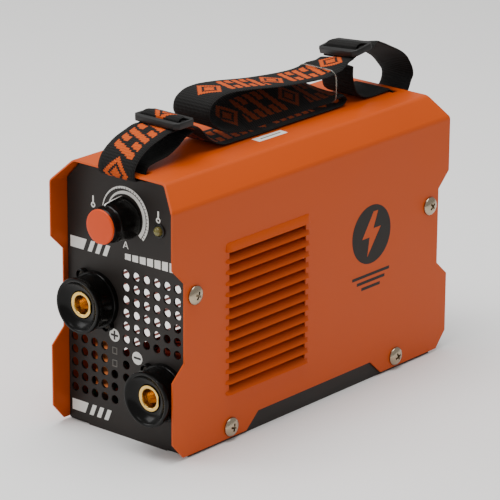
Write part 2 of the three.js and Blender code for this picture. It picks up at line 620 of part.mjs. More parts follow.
function busCapacitor(x) {
  const { radius, height, y } = CAPACITOR;
  const lip = rod('z', [x, y], radius, [boardTop, boardTop + height], 24);
  return cut(lip, rod('z', [x, y], radius - 1.5, [boardTop + height - 0.6, boardTop + height + 1], 24));
}

function inrushRelay() {
  const { across, along, height } = fitted({ across: 9, along: 7.6, height: 16 });
  const [x, y] = [0.72 * boardHalf, alongBoard(0.5636)];
  return box([x - across, x + across], [y - along, y + along], [boardTop, boardTop + height]);
}

function bridgeRectifier() {
  const [x, y] = [-0.59 * boardHalf, alongBoard(0.164)];
  const { half, height } = fitted({ half: 12, height: 7 });
  const outline = [[x - half, y - half], [x + half - 4, y - half], [x + half, y - half + 4],
    [x + half, y + half], [x - half, y + half]];
  return prism('z', outline, [boardTop, boardTop + height], [ngon([x, y], 2.2, 10)]);
}

// ---- the fan ---------------------------------------------------------------------------------

function fanPegs() {
  const reach = FAN.size / 2 - 4;
  return [[-reach, -reach], [reach, -reach], [-reach, reach], [reach, reach]].map(([x, z]) => [x, z + fanZ]);
}

function fanFrame() {
  const half = FAN.size / 2;
  const block = box([-half, half], [fanFront, panelBack], [fanZ - half, fanZ + half]);
  const duct = rod('y', [0, fanZ], FAN.ductR, [fanFront - 1, panelBack + 1], 32);
  const disc = rod('y', [0, fanZ], FAN.hubR, [fanFront, fanFront + FAN.spider], 20);
  const arm = (across, up) => box([-across, across], [fanFront, fanFront + FAN.spider],
    [fanZ - up, fanZ + up]);
  const axle = rod('y', [0, fanZ], FAN.axleR, [fanFront, panelBack - 6], 12);
  const pegs = fanPegs().map((at) => rod('y', at, 1.8, [panelBack - 3, panelFace + 1.2], 8));
  return join(cut(block, duct), disc, arm(half - 1, 2), arm(2, half - 1), axle, pegs);
}

function fanRotor() {
  const [rear, front] = [panelBack - 4, fanFront + FAN.spider + 1];
  const hub = rod('y', [0, fanZ], FAN.hubR, [front, rear], 24);
  const blades = Array.from({ length: FAN.blades }, (_, i) => {
    const geometry = new THREE.BoxGeometry(1.6, (rear - front) * 0.95, FAN.bladeTip - FAN.hubR + 2);
    geometry.rotateZ(THREE.MathUtils.degToRad(38));
    geometry.translate(0, (front + rear) / 2, (FAN.bladeTip - 1 + FAN.hubR - 2) / 2);
    return solid(geometry.rotateY((i * 2 * Math.PI) / FAN.blades).translate(0, 0, fanZ));
  });
  const sweep = rod('y', [0, fanZ], FAN.bladeTip, [front, rear], 36);
  const bore = rod('y', [0, fanZ], FAN.axleR + SLIP, [front - 1, panelBack - 6 + SLIP], 12);
  return join(hub, blades).intersect(sweep).subtract(bore);
}

// ---- the power switch and cable gland --------------------------------------------------------

const ROCKER = { halfWidth: 8.8, halfLength: 11.2, pin: 1.2, axis: 0.8 };

function switchBody() {
  const { x, width, height, flange, body, wall, depth } = SWITCH;
  const z = switchZ;
  const centred = (middle, half) => [middle - half, middle + half];
  const bezel = box(centred(x, width / 2), [panelFace, panelFace + flange], centred(z, height / 2));
  const block = box(centred(x, width / 2 - flange), [panelFace - body, panelFace + flange / 2],
    centred(z, height / 2 - flange));
  const pocket = box(centred(x, ROCKER.halfWidth + SLIP),
    [panelFace + flange - depth, panelFace + flange + 1], centred(z, ROCKER.halfLength + wall));
  const pins = rod('x', [panelFace + ROCKER.axis, z], ROCKER.pin + SLIP,
    centred(x, ROCKER.halfWidth + 1.2), 12);
  const blades = [-8, 0, 8].map((dz) => box(centred(x, 3.1),
    [panelFace - body - 8, panelFace - body + 1], centred(z + dz, 0.4)));
  return join(cut(join(bezel, block), pocket, pins), blades);
}

// The rocker is built level about its own pivot; the group that holds it tilts it to "off".
function switchRocker() {
  const { halfWidth: across, halfLength: along, pin } = ROCKER;
  const outline = [[-3, -along + 1], [-3, along - 1], [1, along], [3.2, along - 0.2], [2.4, 0],
    [3.2, -along + 0.2], [1, -along]];
  const wedge = prism('x', outline, [-across, across]);
  return join(wedge, rod('x', [0, 0], pin, [-across - 0.9, across + 0.9], 12));
}

function glandBody() {
  const at = [GLAND.x, glandZ];
  const hexRear = panelFace + GLAND.hex;
  const end = hexRear + GLAND.dome;
  const hex = prism('y', ngon(at, GLAND.hexR, 6), [panelFace, hexRear]);
  const body = turned(at, [[0, panelBack - GLAND.inside], [GLAND.threadR, panelBack - GLAND.inside],
    [GLAND.threadR, panelFace + 1], [GLAND.domeR, panelFace + 1], [GLAND.domeR, end - 5],
    [GLAND.boreR + 1.6, end], [0, end]], 24);
  return cut(join(hex, body), rod('y', at, GLAND.boreR, [panelBack - GLAND.inside - 1, end + 1], 20));
}

const glandNut = () => hexNut([GLAND.x, glandZ], GLAND.hexR, GLAND.threadR + SLIP,
  [panelBack - GLAND.nut, panelBack]);

// ---- the carrying strap ----------------------------------------------------------------------

const layer = WEBBING.thickness + SLIP; // rise from one lying layer of webbing to the next
const firstLayer = coverTop + SLIP + WEBBING.thickness / 2;
const buckleLength = 3 * BUCKLE.bar + 2 * BUCKLE.window;
const windowY = (BUCKLE.bar + BUCKLE.window) / 2; // a window's middle, from the buckle's own middle
const overBar = BUCKLE.thickness / 2 + SLIP + WEBBING.thickness / 2;

const FRONT_BUCKLE = { y: fromFront(34.3), z: coverTop + 19.8, heading: 0, roll: 0, pitch: 0 };
const REAR_BUCKLE = { y: fromRear(33.2), z: coverTop + 28, heading: -9, roll: 7, pitch: 12 };

// A buckle's own frame: X across the webbing, Y along it, Z out of its flat side.
function buckleFrame({ y, z, heading, roll, pitch }) {
  const [h, r, p] = [heading, roll, pitch].map(THREE.MathUtils.degToRad);
  const turn = new THREE.Matrix4().makeRotationZ(h)
    .multiply(new THREE.Matrix4().makeRotationY(-r)).multiply(new THREE.Matrix4().makeRotationX(p));
  return turn.setPosition(0, y, z);
}

function buckle(place) {
  const [halfW, halfL] = [BUCKLE.width / 2, buckleLength / 2];
  const c = BUCKLE.corner;
  const outline = [[-halfW + c, -halfL], [halfW - c, -halfL], [halfW, -halfL + c], [halfW, halfL - c],
    [halfW - c, halfL], [-halfW + c, halfL], [-halfW, halfL - c], [-halfW, -halfL + c]];
  const reach = WEBBING.width / 2 + 1;
  const window = (side) => rectangle(-reach, reach, side * windowY - BUCKLE.window / 2,
    side * windowY + BUCKLE.window / 2);
  const frame = prism('z', outline, [-BUCKLE.thickness / 2, BUCKLE.thickness / 2], [window(-1), window(1)]);
  return solid(geometryOf(frame).applyMatrix4(buckleFrame(place)));
}

// Stations for webbing threaded up one window, over the middle bar and down the other window.
function threading(place) {
  const frame = buckleFrame(place);
  const [bottom, side] = [-BUCKLE.thickness / 2 - 1.2, windowY];
  const half = [[side + 3, bottom], [side + 0.6, bottom + 0.5], [side, 0], [side - 0.2, overBar - 1],
    [side - 1.3, overBar]];
  const local = [...half.map(([y, z]) => [-y, z]), ...half.reverse()];
  return local.map(([y, z]) => {
    const point = new THREE.Vector3(0, y, z).applyMatrix4(frame);
    return [point.x, point.y, point.z, place.heading, place.roll];
  });
}

// From a tail stitched under the strap, round through the slot and over the lip, into the buckle.
function webbingFrontLoop() {
  const lip = topHalfLength + SLIP + WEBBING.thickness;
  const under = coverTop - COVER.sheet - SLIP - WEBBING.thickness;
  return webbing([
    [0, fromFront(42.7), coverTop + 13.6], [0, fromFront(37.2), coverTop + 12.2],
    [0, fromFront(31.2), coverTop + 8.6], [0, fromFront(23.2), coverTop + 5.2],
    [0, fromFront(14.2), coverTop + 4], [0, fromFront(8.6), coverTop + 2.6],
    [0, -slotY, coverTop - 0.5], [0, -slotY - 1.4, under], [0, -slotY - 4, under - 0.3],
    [0, -lip + 0.8, under + 0.3], [0, -lip, coverTop - 0.4], [0, -lip + 0.2, coverTop + 2.6],
    [0, -lip + 3, coverTop + 7.2], [0, fromFront(9.2), coverTop + 12.4],
    [0, fromFront(19.2), coverTop + 15.6], [0, fromFront(24.6), coverTop + 16.9],
    ...threading(FRONT_BUCKLE),
  ], 72);
}

// The grip: one layer back along the top, folded forward, folded back again over itself.
function webbingHandle() {
  const second = firstLayer + layer;
  const [, y, z, heading, roll] = threading(REAR_BUCKLE)[0];
  return webbing([
    [0, fromFront(41.2), coverTop + 16.6], [0, fromFront(47.2), coverTop + 14.6],
    [0, fromFront(55.2), coverTop + 7], [0, fromFront(65.2), firstLayer + 0.8],
    [0, fromFront(77.2), firstLayer], [0, fromRear(87.2), firstLayer], [0, fromRear(57.2), firstLayer],
    [0, fromRear(49.2), firstLayer + 0.6], [0, fromRear(46.6), firstLayer + 2.6],
    [0, fromRear(49.2), firstLayer + 5.4], [0, fromRear(61.2), second + 6.2, 0, -16],
    [0, fromRear(99.2), second + 8.5, 0, -36], [0, fromFront(87.2), second + 8, 0, -34],
    [0, fromFront(71.2), second + 7.4, 0, -15], [0, fromFront(61.2), second + 9.4],
    [0, fromFront(55.4), second + 15], [0, fromFront(56.2), second + 20.6],
    [0, fromFront(62.2), second + 24.2], [0, fromFront(71.2), second + 25.2],
    [0, fromFront(85.2), second + 24], [0, fromRear(99.2), second + 19.8],
    [0, fromRear(63.2), second + 17], [0, fromRear(51.2), second + 18.4],
    [0, y - 6, z - 1.4, heading, roll], [0, y - 1.8, z - 0.5, heading, roll],
  ], 96);
}

// From the grip's end through the rear buckle, round under the rear lip and back up to the buckle.
function webbingRearLoop() {
  const under = coverTop - COVER.sheet - SLIP - WEBBING.thickness;
  return webbing([
    ...threading(REAR_BUCKLE), [0, fromRear(19.2), coverTop + 28.2, -9, 10],
    [0, fromRear(5.2), coverTop + 22, -10, 16], [0, fromRear(-6.8), coverTop + 14, -11, 19],
    [0, fromRear(-12.8), coverTop + 4, -10, 18], [0, fromRear(-9.8), coverTop - 3.4, -6, 10],
    [0, fromRear(-3.3), under - 1.8, -2, 2], [0, slotY + 4, under - 0.4], [0, slotY + 1.2, under + 0.4],
    [0, slotY, coverTop - 0.4], [0, fromRear(8.8), coverTop + 1.2], [0, fromRear(13.2), firstLayer],
    [0, fromRear(29.2), firstLayer + 0.4, -3], [0, fromRear(36.6), firstLayer + 4, -5, 3],
    [0, fromRear(39.6), firstLayer + 12, -8, 6], [0, fromRear(39.4), coverTop + 21, -9, 7],
  ], 88);
}

// A thin elastic ring that keeps the folded layers of the grip together.
function strapTie() {
  const [halfIn, wire, y] = [WEBBING.width / 2 + 0.6, 0.8, fromRear(57.2)];
  const [low, high] = [coverTop + 3.9, coverTop + 21.8];
  const ring = (grow) => rectangle(-halfIn - grow, halfIn + grow, low - grow, high + grow);
  return prism('y', ring(wire), [y - wire / 2, y + wire / 2], [ring(0)]);
}

// ---- materials -------------------------------------------------------------------------------

const finish = (color, roughness, metalness) => () =>
  new THREE.MeshStandardMaterial({ color, roughness, metalness });
const ORANGE_PAINT = finish('#C65415', 0.42, 0);
const BLACK_PAINT = finish('#35302D', 0.55, 0);
const BLACK_PLASTIC = finish('#1B1A19', 0.4, 0);
const ORANGE_PLASTIC = finish('#D4622F', 0.35, 0);
const LAMP = finish('#7A7440', 0.2, 0);
const BRASS = finish('#E0B060', 0.3, 1);
const COPPER = finish('#B87333', 0.35, 1);
const ZINC = finish('#B9AE9A', 0.35, 1);
const ALUMINIUM = finish('#C8CACC', 0.4, 1);
const FIBREGLASS = finish('#1E5B34', 0.5, 0);
const FERRITE = finish('#3A3B3D', 0.7, 0);
const WEBBING_BLACK = finish('#15130F', 0.9, 0);

// ---- assembly --------------------------------------------------------------------------------

const machine = new THREE.Group();
const caseGroup = new THREE.Group();
machine.add(caseGroup);

function place(name, made, material, group = caseGroup) {
  const mesh = new THREE.Mesh(made.isBufferGeometry ? made : geometryOf(made), material());
  mesh.name = name;
  group.add(mesh);
  return mesh;
}

place('cover_shell', coverShell(), ORANGE_PAINT);
place('base_pan', basePan(), BLACK_PAINT);
place('front_panel', frontPanel(), BLACK_PAINT);
place('rear_panel', rearPanel(), BLACK_PAINT);

const screwGeometry = geometryOf(coverScrew());
screwPlaces.forEach(({ side, y, z }, i) => {
  const screw = place(`cover_screw_${i + 1}`, screwGeometry, ZINC);
  screw.position.set(side * halfWidth, y, z);
  screw.rotation.z = (-side * Math.PI) / 2;
});

place('potentiometer', potentiometer(), ZINC);
place('potentiometer_nut', potentiometerNut(), ZINC);
place('led_bezel_power', ledBezel(...ledAt(POWER_LED)), BLACK_PLASTIC);
place('led_bezel_overheat', ledBezel(...ledAt(OVERHEAT_LED)), BLACK_PLASTIC);
place('led_power', ledLamp(...ledAt(POWER_LED)), LAMP);
place('led_overheat', ledLamp(...ledAt(OVERHEAT_LED)), LAMP);

for (const [sign, socket] of [['positive', POSITIVE], ['negative', NEGATIVE]]) {
  place(`socket_${sign}`, socketBody(socket), BLACK_PLASTIC);
  place(`socket_insert_${sign}`, socketInsert(socket), BRASS);
  place(`socket_nut_${sign}`, socketNut(socket), ZINC);
  place(`busbar_${sign}`, busbar(socket), COPPER);
  lobeCentres(socket).forEach((at, i) => place(`socket_screw_${sign}_${i + 1}`, flangeScrew(at), ZINC));
}

place('control_board', controlBoard(), FIBREGLASS);
place('main_board', mainBoard(), FIBREGLASS);
place('transformer_core', transformerCore(), FERRITE);
place('transformer_winding', transformerWinding(), COPPER);
place('output_choke', outputChoke(), COPPER);
place('inrush_relay', inrushRelay(), BLACK_PLASTIC);
place('bridge_rectifier', bridgeRectifier(), BLACK_PLASTIC);
CAPACITOR.x.forEach((x, i) => place(`bus_capacitor_${i + 1}`, busCapacitor(x), BLACK_PLASTIC));
place('heatsink_primary', heatsink(-1), ALUMINIUM);
place('heatsink_output', heatsink(1), ALUMINIUM);
place('igbt_1', powerPackage(-1, alongBoard(0.745)), BLACK_PLASTIC);
place('igbt_2', powerPackage(-1, alongBoard(0.867)), BLACK_PLASTIC);
place('output_diode', powerPackage(1, alongBoard(0.806)), BLACK_PLASTIC);
place('fan_frame', fanFrame(), BLACK_PLASTIC);
place('switch_body', switchBody(), BLACK_PLASTIC);
place('gland_body', glandBody(), BLACK_PLASTIC);
place('gland_nut', glandNut(), BLACK_PLASTIC);
place('webbing_front_loop', webbingFrontLoop(), WEBBING_BLACK);
place('webbing_handle', webbingHandle(), WEBBING_BLACK);
place('webbing_rear_loop', webbingRearLoop(), WEBBING_BLACK);
place('strap_tie', strapTie(), LAMP);
place('front_buckle', buckle(FRONT_BUCKLE), BLACK_PLASTIC);
place('rear_buckle', buckle(REAR_BUCKLE), BLACK_PLASTIC);

const knobGroup = new THREE.Group();
machine.add(knobGroup);
place('knob_body', knobBody(), BLACK_PLASTIC, knobGroup);
place('knob_cap', knobCap(), ORANGE_PLASTIC, knobGroup);
place('potentiometer_shaft', potentiometerShaft(), ZINC, knobGroup);

const rotorGroup = new THREE.Group();
machine.add(rotorGroup);
place('fan_rotor', fanRotor(), BLACK_PLASTIC, rotorGroup);

const rockerGroup = new THREE.Group();
rockerGroup.position.set(SWITCH.x, panelFace + ROCKER.axis, switchZ);
rockerGroup.rotation.x = THREE.MathUtils.degToRad(-SWITCH.tilt);
machine.add(rockerGroup);
place('switch_rocker', switchRocker(), BLACK_PLASTIC, rockerGroup);

export default machine;
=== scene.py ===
"""Stick welding inverter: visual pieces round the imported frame. Sizes in the code are millimetres."""
import json
import math

import bmesh
import bpy
from mathutils import Matrix, Vector


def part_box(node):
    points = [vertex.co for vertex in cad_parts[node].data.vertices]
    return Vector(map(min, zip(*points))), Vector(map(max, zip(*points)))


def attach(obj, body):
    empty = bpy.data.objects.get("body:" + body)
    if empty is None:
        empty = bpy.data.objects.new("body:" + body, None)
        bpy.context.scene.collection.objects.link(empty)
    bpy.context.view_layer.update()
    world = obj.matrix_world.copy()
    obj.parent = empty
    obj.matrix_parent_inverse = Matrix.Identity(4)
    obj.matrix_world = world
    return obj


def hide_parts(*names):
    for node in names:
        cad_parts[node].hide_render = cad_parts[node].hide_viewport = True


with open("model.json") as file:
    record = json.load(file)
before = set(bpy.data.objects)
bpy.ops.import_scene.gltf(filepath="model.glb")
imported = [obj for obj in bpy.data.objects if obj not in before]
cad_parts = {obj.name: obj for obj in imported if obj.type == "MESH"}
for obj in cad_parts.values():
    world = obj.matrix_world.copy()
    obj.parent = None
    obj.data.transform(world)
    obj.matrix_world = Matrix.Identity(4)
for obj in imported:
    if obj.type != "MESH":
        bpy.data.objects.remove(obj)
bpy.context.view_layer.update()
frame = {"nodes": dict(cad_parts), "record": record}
MM = 0.001


def placed(name, data):
    """The data as an object in the scene."""
    made = bpy.data.objects.new(name, data)
    bpy.context.scene.collection.objects.link(made)
    return made


def box_mm(node):
    """A CAD node's lowest and highest corners, to a tenth of a millimetre."""
    return [[round(value / MM, 1) for value in corner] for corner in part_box(node)]


def middle(node):
    """The middle of a CAD node's box, to a tenth of a millimetre."""
    return [round((low + high) / 2 / MM, 1) for low, high in zip(*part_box(node))]


def axis_of(node):
    """The x and z of the middle of a node that is set along Y."""
    return tuple(middle(node)[::2])


# ---- camera ------------------------------------------------------------------------------------

# Angles are degrees. The offset is how far left, down and back the eye stands from the origin, along its
# own axes, and lift is how far that is raised.
CAMERA = {"azimuth": 40.467, "elevation": 18.853, "roll": 0.349, "lens": 226.58, "sensor": 36,
          "offset": (2.647, -71.539, 1711.509), "lift": 1.5}


def camera_matrix():
    """The camera's place and turn, from its angles round the object."""
    azimuth, elevation, roll = (math.radians(CAMERA[k]) for k in ("azimuth", "elevation", "roll"))
    back = Vector((math.sin(azimuth) * math.cos(elevation),
                   -math.cos(azimuth) * math.cos(elevation), math.sin(elevation)))
    level = (-back).cross(Vector((0, 0, 1))).normalized()
    upright = level.cross(-back)
    right = level * math.cos(roll) + upright * math.sin(roll)
    up = upright * math.cos(roll) - level * math.sin(roll)
    across, rise, away = CAMERA["offset"]
    eye = back * away - right * across - up * rise + Vector((0, 0, CAMERA["lift"]))
    turn = Matrix((right, up, back)).transposed().to_4x4()
    return Matrix.Translation(eye * MM) @ turn


def stand_camera():
    data = bpy.data.cameras.new("camera")
    data.lens, data.sensor_width = CAMERA["lens"], CAMERA["sensor"]
    data.clip_start, data.clip_end = 0.05, 20
    camera = placed("camera", data)
    camera.matrix_world = camera_matrix()
    bpy.context.scene.camera = camera


stand_camera()

# ---- materials -------------------------------------------------------------------------------


def colour(code):
    """An sRGB hex colour as linear red, green, blue and alpha."""
    parts = [int(code[i:i + 2], 16) / 255 for i in (1, 3, 5)]
    return (*[c / 12.92 if c <= 0.04045 else ((c + 0.055) / 1.055) ** 2.4 for c in parts], 1)


def add(tree, kind, settings=None, links=None):
    """Adds a node, sets its properties or inputs, and links its inputs to other nodes' sockets."""
    made = tree.nodes.new(kind)
    for key, value in (settings or {}).items():
        if isinstance(key, str) and hasattr(made, key):
            setattr(made, key, value)
        else:
            made.inputs[key].default_value = value
    for key, source in (links or {}).items():
        tree.links.new(source, made.inputs[key])
    return made


def blank(name, values):
    """A new material, its node tree, and its shader with the values given."""
    made = bpy.data.materials.new(name)
    made.use_nodes = True
    tree = made.node_tree
    tree.nodes.clear()
    shader = add(tree, "ShaderNodeBsdfPrincipled", values)
    add(tree, "ShaderNodeOutputMaterial", {}, {"Surface": shader.outputs[0]})
    return made, tree, shader


SHADER_INPUTS = {"metal": "Metallic", "specular": "Specular IOR Level", "clear": "Transmission Weight",
                 "ior": "IOR"}


def surface(name, base, rough, grain=0.5, depth=0.02, tone=0.06, spread=0.05, marks=18.0, **values):
    """A moulded, cast, painted or plated surface. grain is its texture's size in mm and depth its bump in
    mm; tone and spread are how far its colour and roughness wander over patches of marks mm."""
    made, tree, shader = blank(name, {SHADER_INPUTS[key]: value for key, value in values.items()})
    place = add(tree, "ShaderNodeTexCoord").outputs["Object"]
    broad = add(tree, "ShaderNodeTexNoise", {"Scale": 1 / (marks * MM), "Detail": 3.0}, {"Vector": place})
    fine = add(tree, "ShaderNodeTexNoise", {"Scale": 1 / (grain * MM), "Detail": 2.0}, {"Vector": place})
    low = (*[c * (1 - tone) for c in colour(base)[:3]], 1)
    high = (*[min(1, c * (1 + tone)) for c in colour(base)[:3]], 1)
    shade = add(tree, "ShaderNodeMix", {"data_type": "RGBA", 6: low, 7: high}, {0: broad.outputs[0]})
    gloss = add(tree, "ShaderNodeMapRange", {"To Min": rough - spread, "To Max": rough + spread},
                {"Value": broad.outputs[0]})
    bump = add(tree, "ShaderNodeBump", {"Strength": 0.6, "Distance": depth * MM}, {"Height": fine.outputs[0]})
    tree.links.new(shade.outputs[2], shader.inputs["Base Color"])
    tree.links.new(gloss.outputs[0], shader.inputs["Roughness"])
    tree.links.new(bump.outputs[0], shader.inputs["Normal"])
    return made


# Powder coat on folded steel: an even saturated orange, semi-gloss, with a fine orange-peel skin.
ORANGE_COAT = surface("orange_powder_coat", "#BC4700", 0.45, grain=1.1, depth=0.006, tone=0.03, marks=45,
                      specular=0.22)
# Satin black powder coat: soft wide highlights over a faint sandy texture.
BLACK_COAT = surface("black_powder_coat", "#25201D", 0.5, grain=0.6, depth=0.012, tone=0.08,
                     specular=0.25)
# Screen-printed ink on the black panels and cover: matt, slightly uneven in cover.
PALE_INK = surface("pale_screen_ink", "#E6E4DE", 0.55, grain=0.4, depth=0.004, tone=0.05, marks=4)
DARK_INK = surface("dark_screen_ink", "#1F1915", 0.5, grain=0.4, depth=0.004, tone=0.08, marks=6,
                   specular=0.2)
GREY_INK = surface("grey_screen_ink", "#5E5A54", 0.6, grain=0.4, depth=0.004, tone=0.06, marks=4)
# Moulded nylon with a polished face, as on sockets and knobs: near black with crisp highlights.
POLISHED_NYLON = surface("polished_black_nylon", "#0A0908", 0.22, grain=0.9, depth=0.003, tone=0.15,
                         specular=0.17)
# Moulded nylon with a spark-eroded texture: dull and slightly grey.
TEXTURED_NYLON = surface("textured_black_nylon", "#141312", 0.45, grain=0.35, depth=0.012, tone=0.12,
                         specular=0.35)
# Moulded ABS cap: satin, and a redder orange than the sheet's paint.
ORANGE_ABS = surface("orange_abs", "#D2440C", 0.4, depth=0.004, tone=0.03, marks=8, specular=0.25)
# Turned brass, lightly oiled: warm gold with fine cutting marks.
TURNED_BRASS = surface("turned_brass", "#E3BC6A", 0.22, metal=1.0, grain=0.25, depth=0.01, tone=0.10,
                       spread=0.08, marks=3)
# Nickel-plated pressed steel screws: bright, warm and slightly worn.
PLATED_STEEL = surface("nickel_plated_steel", "#A89A84", 0.24, metal=1.0, grain=0.6, depth=0.008, tone=0.10,
                       spread=0.08, marks=4)
# Black-oxide steel, on small screws: dark, with a soft oily glint.
BLACK_OXIDE = surface("black_oxide_steel", "#2A2724", 0.35, metal=1.0, depth=0.006, tone=0.10, marks=3)
# Extruded aluminium, mill finish: pale grey and evenly dull.
MILL_ALUMINIUM = surface("mill_aluminium", "#C4C6C8", 0.38, metal=1.0, grain=0.8, depth=0.008, tone=0.06)
# Enamelled copper wire and strip: deep orange-brown and shiny.
ENAMELLED_COPPER = surface("enamelled_copper", "#B5683A", 0.3, metal=1.0, grain=0.8, depth=0.05, tone=0.18,
                           marks=3)
# Glass-fibre board under green solder mask: mottled deep green with a wet look.
SOLDER_MASK = surface("green_solder_mask", "#1D5A34", 0.35, grain=1.2, depth=0.02, tone=0.25, marks=5)
# Sintered ferrite: dull charcoal grey.
FERRITE = surface("sintered_ferrite", "#3A3B3D", 0.7, depth=0.03, tone=0.12)
# Shrink sleeve round the capacitors: navy and glossy.
SHRINK_SLEEVE = surface("shrink_sleeve", "#1B2030", 0.25, grain=2.0, depth=0.01, tone=0.15)
# A tinted acrylic lamp lens: olive, glossy and partly clear.
LAMP_LENS = surface("olive_acrylic_lens", "#8B8449", 0.12, grain=0.6, depth=0.003, tone=0.10, marks=2,
                    clear=0.35, ior=1.49)
# A clear polyurethane tie: thin, glassy and a little yellow.
CLEAR_TIE = surface("clear_polyurethane", "#A8A49A", 0.15, depth=0.004, tone=0.05, clear=0.7, ior=1.5)
# A paper sticker: matt warm white.
PAPER = surface("white_paper_label", "#E6E1DA", 0.6, grain=0.3, depth=0.006, tone=0.04, marks=5)
# The floor: a matt pale sheet.
FLOOR = surface("pale_floor", "#F4F3F1", 0.75, grain=30, depth=0.01, tone=0.01, marks=400)


# Woven polyester: matt black with a faint sheen, ribbed, and orange where the pattern's yarn comes up.
RIB, THREAD = 1.6, 0.9
WAVE = 0.31  # a wave texture of scale 1 repeats after this length


def woven(name):
    """Polyester webbing. The face attribute yarn goes from the black ground (0) to the dyed pattern (1). Ribs
    run across it and warp threads along it, both coarser than real ones so that they show."""
    made, tree, shader = blank(name, {"Roughness": 0.8, "Specular IOR Level": 0.2, "Sheen Weight": 0.03,
                                      "Sheen Roughness": 0.5})
    yarn = add(tree, "ShaderNodeAttribute", {"attribute_name": "yarn"}).outputs["Fac"]
    along = add(tree, "ShaderNodeUVMap", {"uv_map": "weave"}).outputs[0]
    ribs = add(tree, "ShaderNodeTexWave", {"Scale": WAVE / RIB, "bands_direction": "Y", "Distortion": 0.6,
                                           "Detail Scale": 3.0}, {"Vector": along})
    warp = add(tree, "ShaderNodeTexWave", {"Scale": WAVE / THREAD, "bands_direction": "X", "Distortion": 0.8},
               {"Vector": along})
    fuzz = add(tree, "ShaderNodeTexNoise", {"Scale": 1.4, "Detail": 4.0}, {"Vector": along})
    weave = add(tree, "ShaderNodeMath", {"operation": "ADD"}, {0: ribs.outputs[1], 1: warp.outputs[1]})
    lift = add(tree, "ShaderNodeMath", {"operation": "ADD"}, {0: weave.outputs[0], 1: fuzz.outputs[0]})
    dyed = add(tree, "ShaderNodeMix", {"data_type": "RGBA", 6: colour("#9E3400"), 7: colour("#DA5C08")},
               {0: fuzz.outputs[0]})
    ground = add(tree, "ShaderNodeMix", {"data_type": "RGBA", 6: colour("#040403"), 7: colour("#12100E")},
                 {0: fuzz.outputs[0]})
    thread = add(tree, "ShaderNodeMix", {"data_type": "RGBA"},
                 {0: yarn, 6: ground.outputs[2], 7: dyed.outputs[2]})
    bump = add(tree, "ShaderNodeBump", {"Strength": 0.7, "Distance": 0.25 * MM}, {"Height": lift.outputs[0]})
    tree.links.new(thread.outputs[2], shader.inputs["Base Color"])
    tree.links.new(bump.outputs[0], shader.inputs["Normal"])
    return made


WEBBING = woven("woven_polyester")

# ---- making pieces ---------------------------------------------------------------------------


def piece(name, points, faces, material):
    """A mesh object from points in millimetres."""
    data = bpy.data.meshes.new(name)
    data.from_pydata([Vector(p) * MM for p in points], [], faces)
    data.materials.append(material)
    data.validate()
    return placed(name, data)


def outward(made):
    """The object with its doubled points merged and its faces turned outwards."""
    shape = bmesh.new()
    shape.from_mesh(made.data)
    bmesh.ops.remove_doubles(shape, verts=shape.verts, dist=1e-6)
    bmesh.ops.recalc_face_normals(shape, faces=shape.faces)
    shape.to_mesh(made.data)
    shape.free()
    return made


def settled(made):
    """The object with its modifiers turned into plain mesh."""
    graph = bpy.context.evaluated_depsgraph_get()
    data = bpy.data.meshes.new_from_object(made.evaluated_get(graph))
    made.modifiers.clear()
    old, made.data = made.data, data
    bpy.data.meshes.remove(old)
    return made


def shaded(made, angle=30):
    """Smooth shading, apart from edges sharper than the angle."""
    made.data.shade_smooth()
    made.data.set_sharp_from_angle(angle=math.radians(angle))
    return made


def combined(name, parts):
    """Several objects as one."""
    shape = bmesh.new()
    materials = []
    for part in parts:
        for material in part.data.materials:
            if material not in materials:
                materials.append(material)
        start = len(shape.faces)
        shape.from_mesh(part.data)
        shape.faces.ensure_lookup_table()
        for face in shape.faces[start:]:
            face.material_index = materials.index(part.data.materials[face.material_index])
    data = bpy.data.meshes.new(name)
    shape.to_mesh(data)
    shape.free()
    for material in materials:
        data.materials.append(material)
    for part in parts:
        bpy.data.objects.remove(part)
    return placed(name, data)


def carved(made, *cutters, operation="DIFFERENCE"):
    """The object less its cutters, or what it shares with them."""
    for cutter in cutters:
        change = made.modifiers.new("cut", "BOOLEAN")
        change.operation, change.object, change.solver = operation, cutter, "EXACT"
    settled(made)
    for cutter in cutters:
        bpy.data.objects.remove(cutter)
    return made


def softened(made, width, segments=2, angle=40):
    """Rounds the object's edges; width in mm."""
    bevel = made.modifiers.new("edges", "BEVEL")
    bevel.width, bevel.segments, bevel.limit_method = width * MM, segments, "ANGLE"
    bevel.angle_limit, bevel.harden_normals = math.radians(angle), False
    bevel.use_clamp_overlap = True
    return settled(made)


PLANES = {"x": lambda a, b, t: (t, a, b), "y": lambda a, b, t: (a, t, b), "z": lambda a, b, t: (a, b, t)}


def prism(name, axis, outline, span, material):
    """An outline pushed along an axis, over a span. It is given in the two other axes, in X, Y, Z order."""
    lift = PLANES[axis]
    count = len(outline)
    points = [lift(a, b, t) for t in span for a, b in outline]
    sides = [(i, (i + 1) % count, count + (i + 1) % count, count + i) for i in range(count)]
    faces = [tuple(range(count)), tuple(range(count, 2 * count)), *sides]
    return outward(piece(name, points, faces, material))


def rectangle(low_a, high_a, low_b, high_b):
    return [(low_a, low_b), (high_a, low_b), (high_a, high_b), (low_a, high_b)]


def about(at, half_a, half_b):
    """A rectangle about its middle."""
    return rectangle(at[0] - half_a, at[0] + half_a, at[1] - half_b, at[1] + half_b)


def one_side(side, near, far):
    """The span between two distances from the middle, on the side of -1 or 1."""
    return sorted((side * near, side * far))


def polar(at, radius, degrees):
    """The point at a radius and an angle from at."""
    angle = math.radians(degrees)
    return at[0] + radius * math.cos(angle), at[1] + radius * math.sin(angle)


def circle(at, radius, count, start=0.0, sweep=360.0):
    """A ring of points, or an arc of them where the sweep is less than a full turn."""
    steps = count if sweep == 360.0 else count + 1
    return [polar(at, radius, start + sweep * i / count) for i in range(steps)]


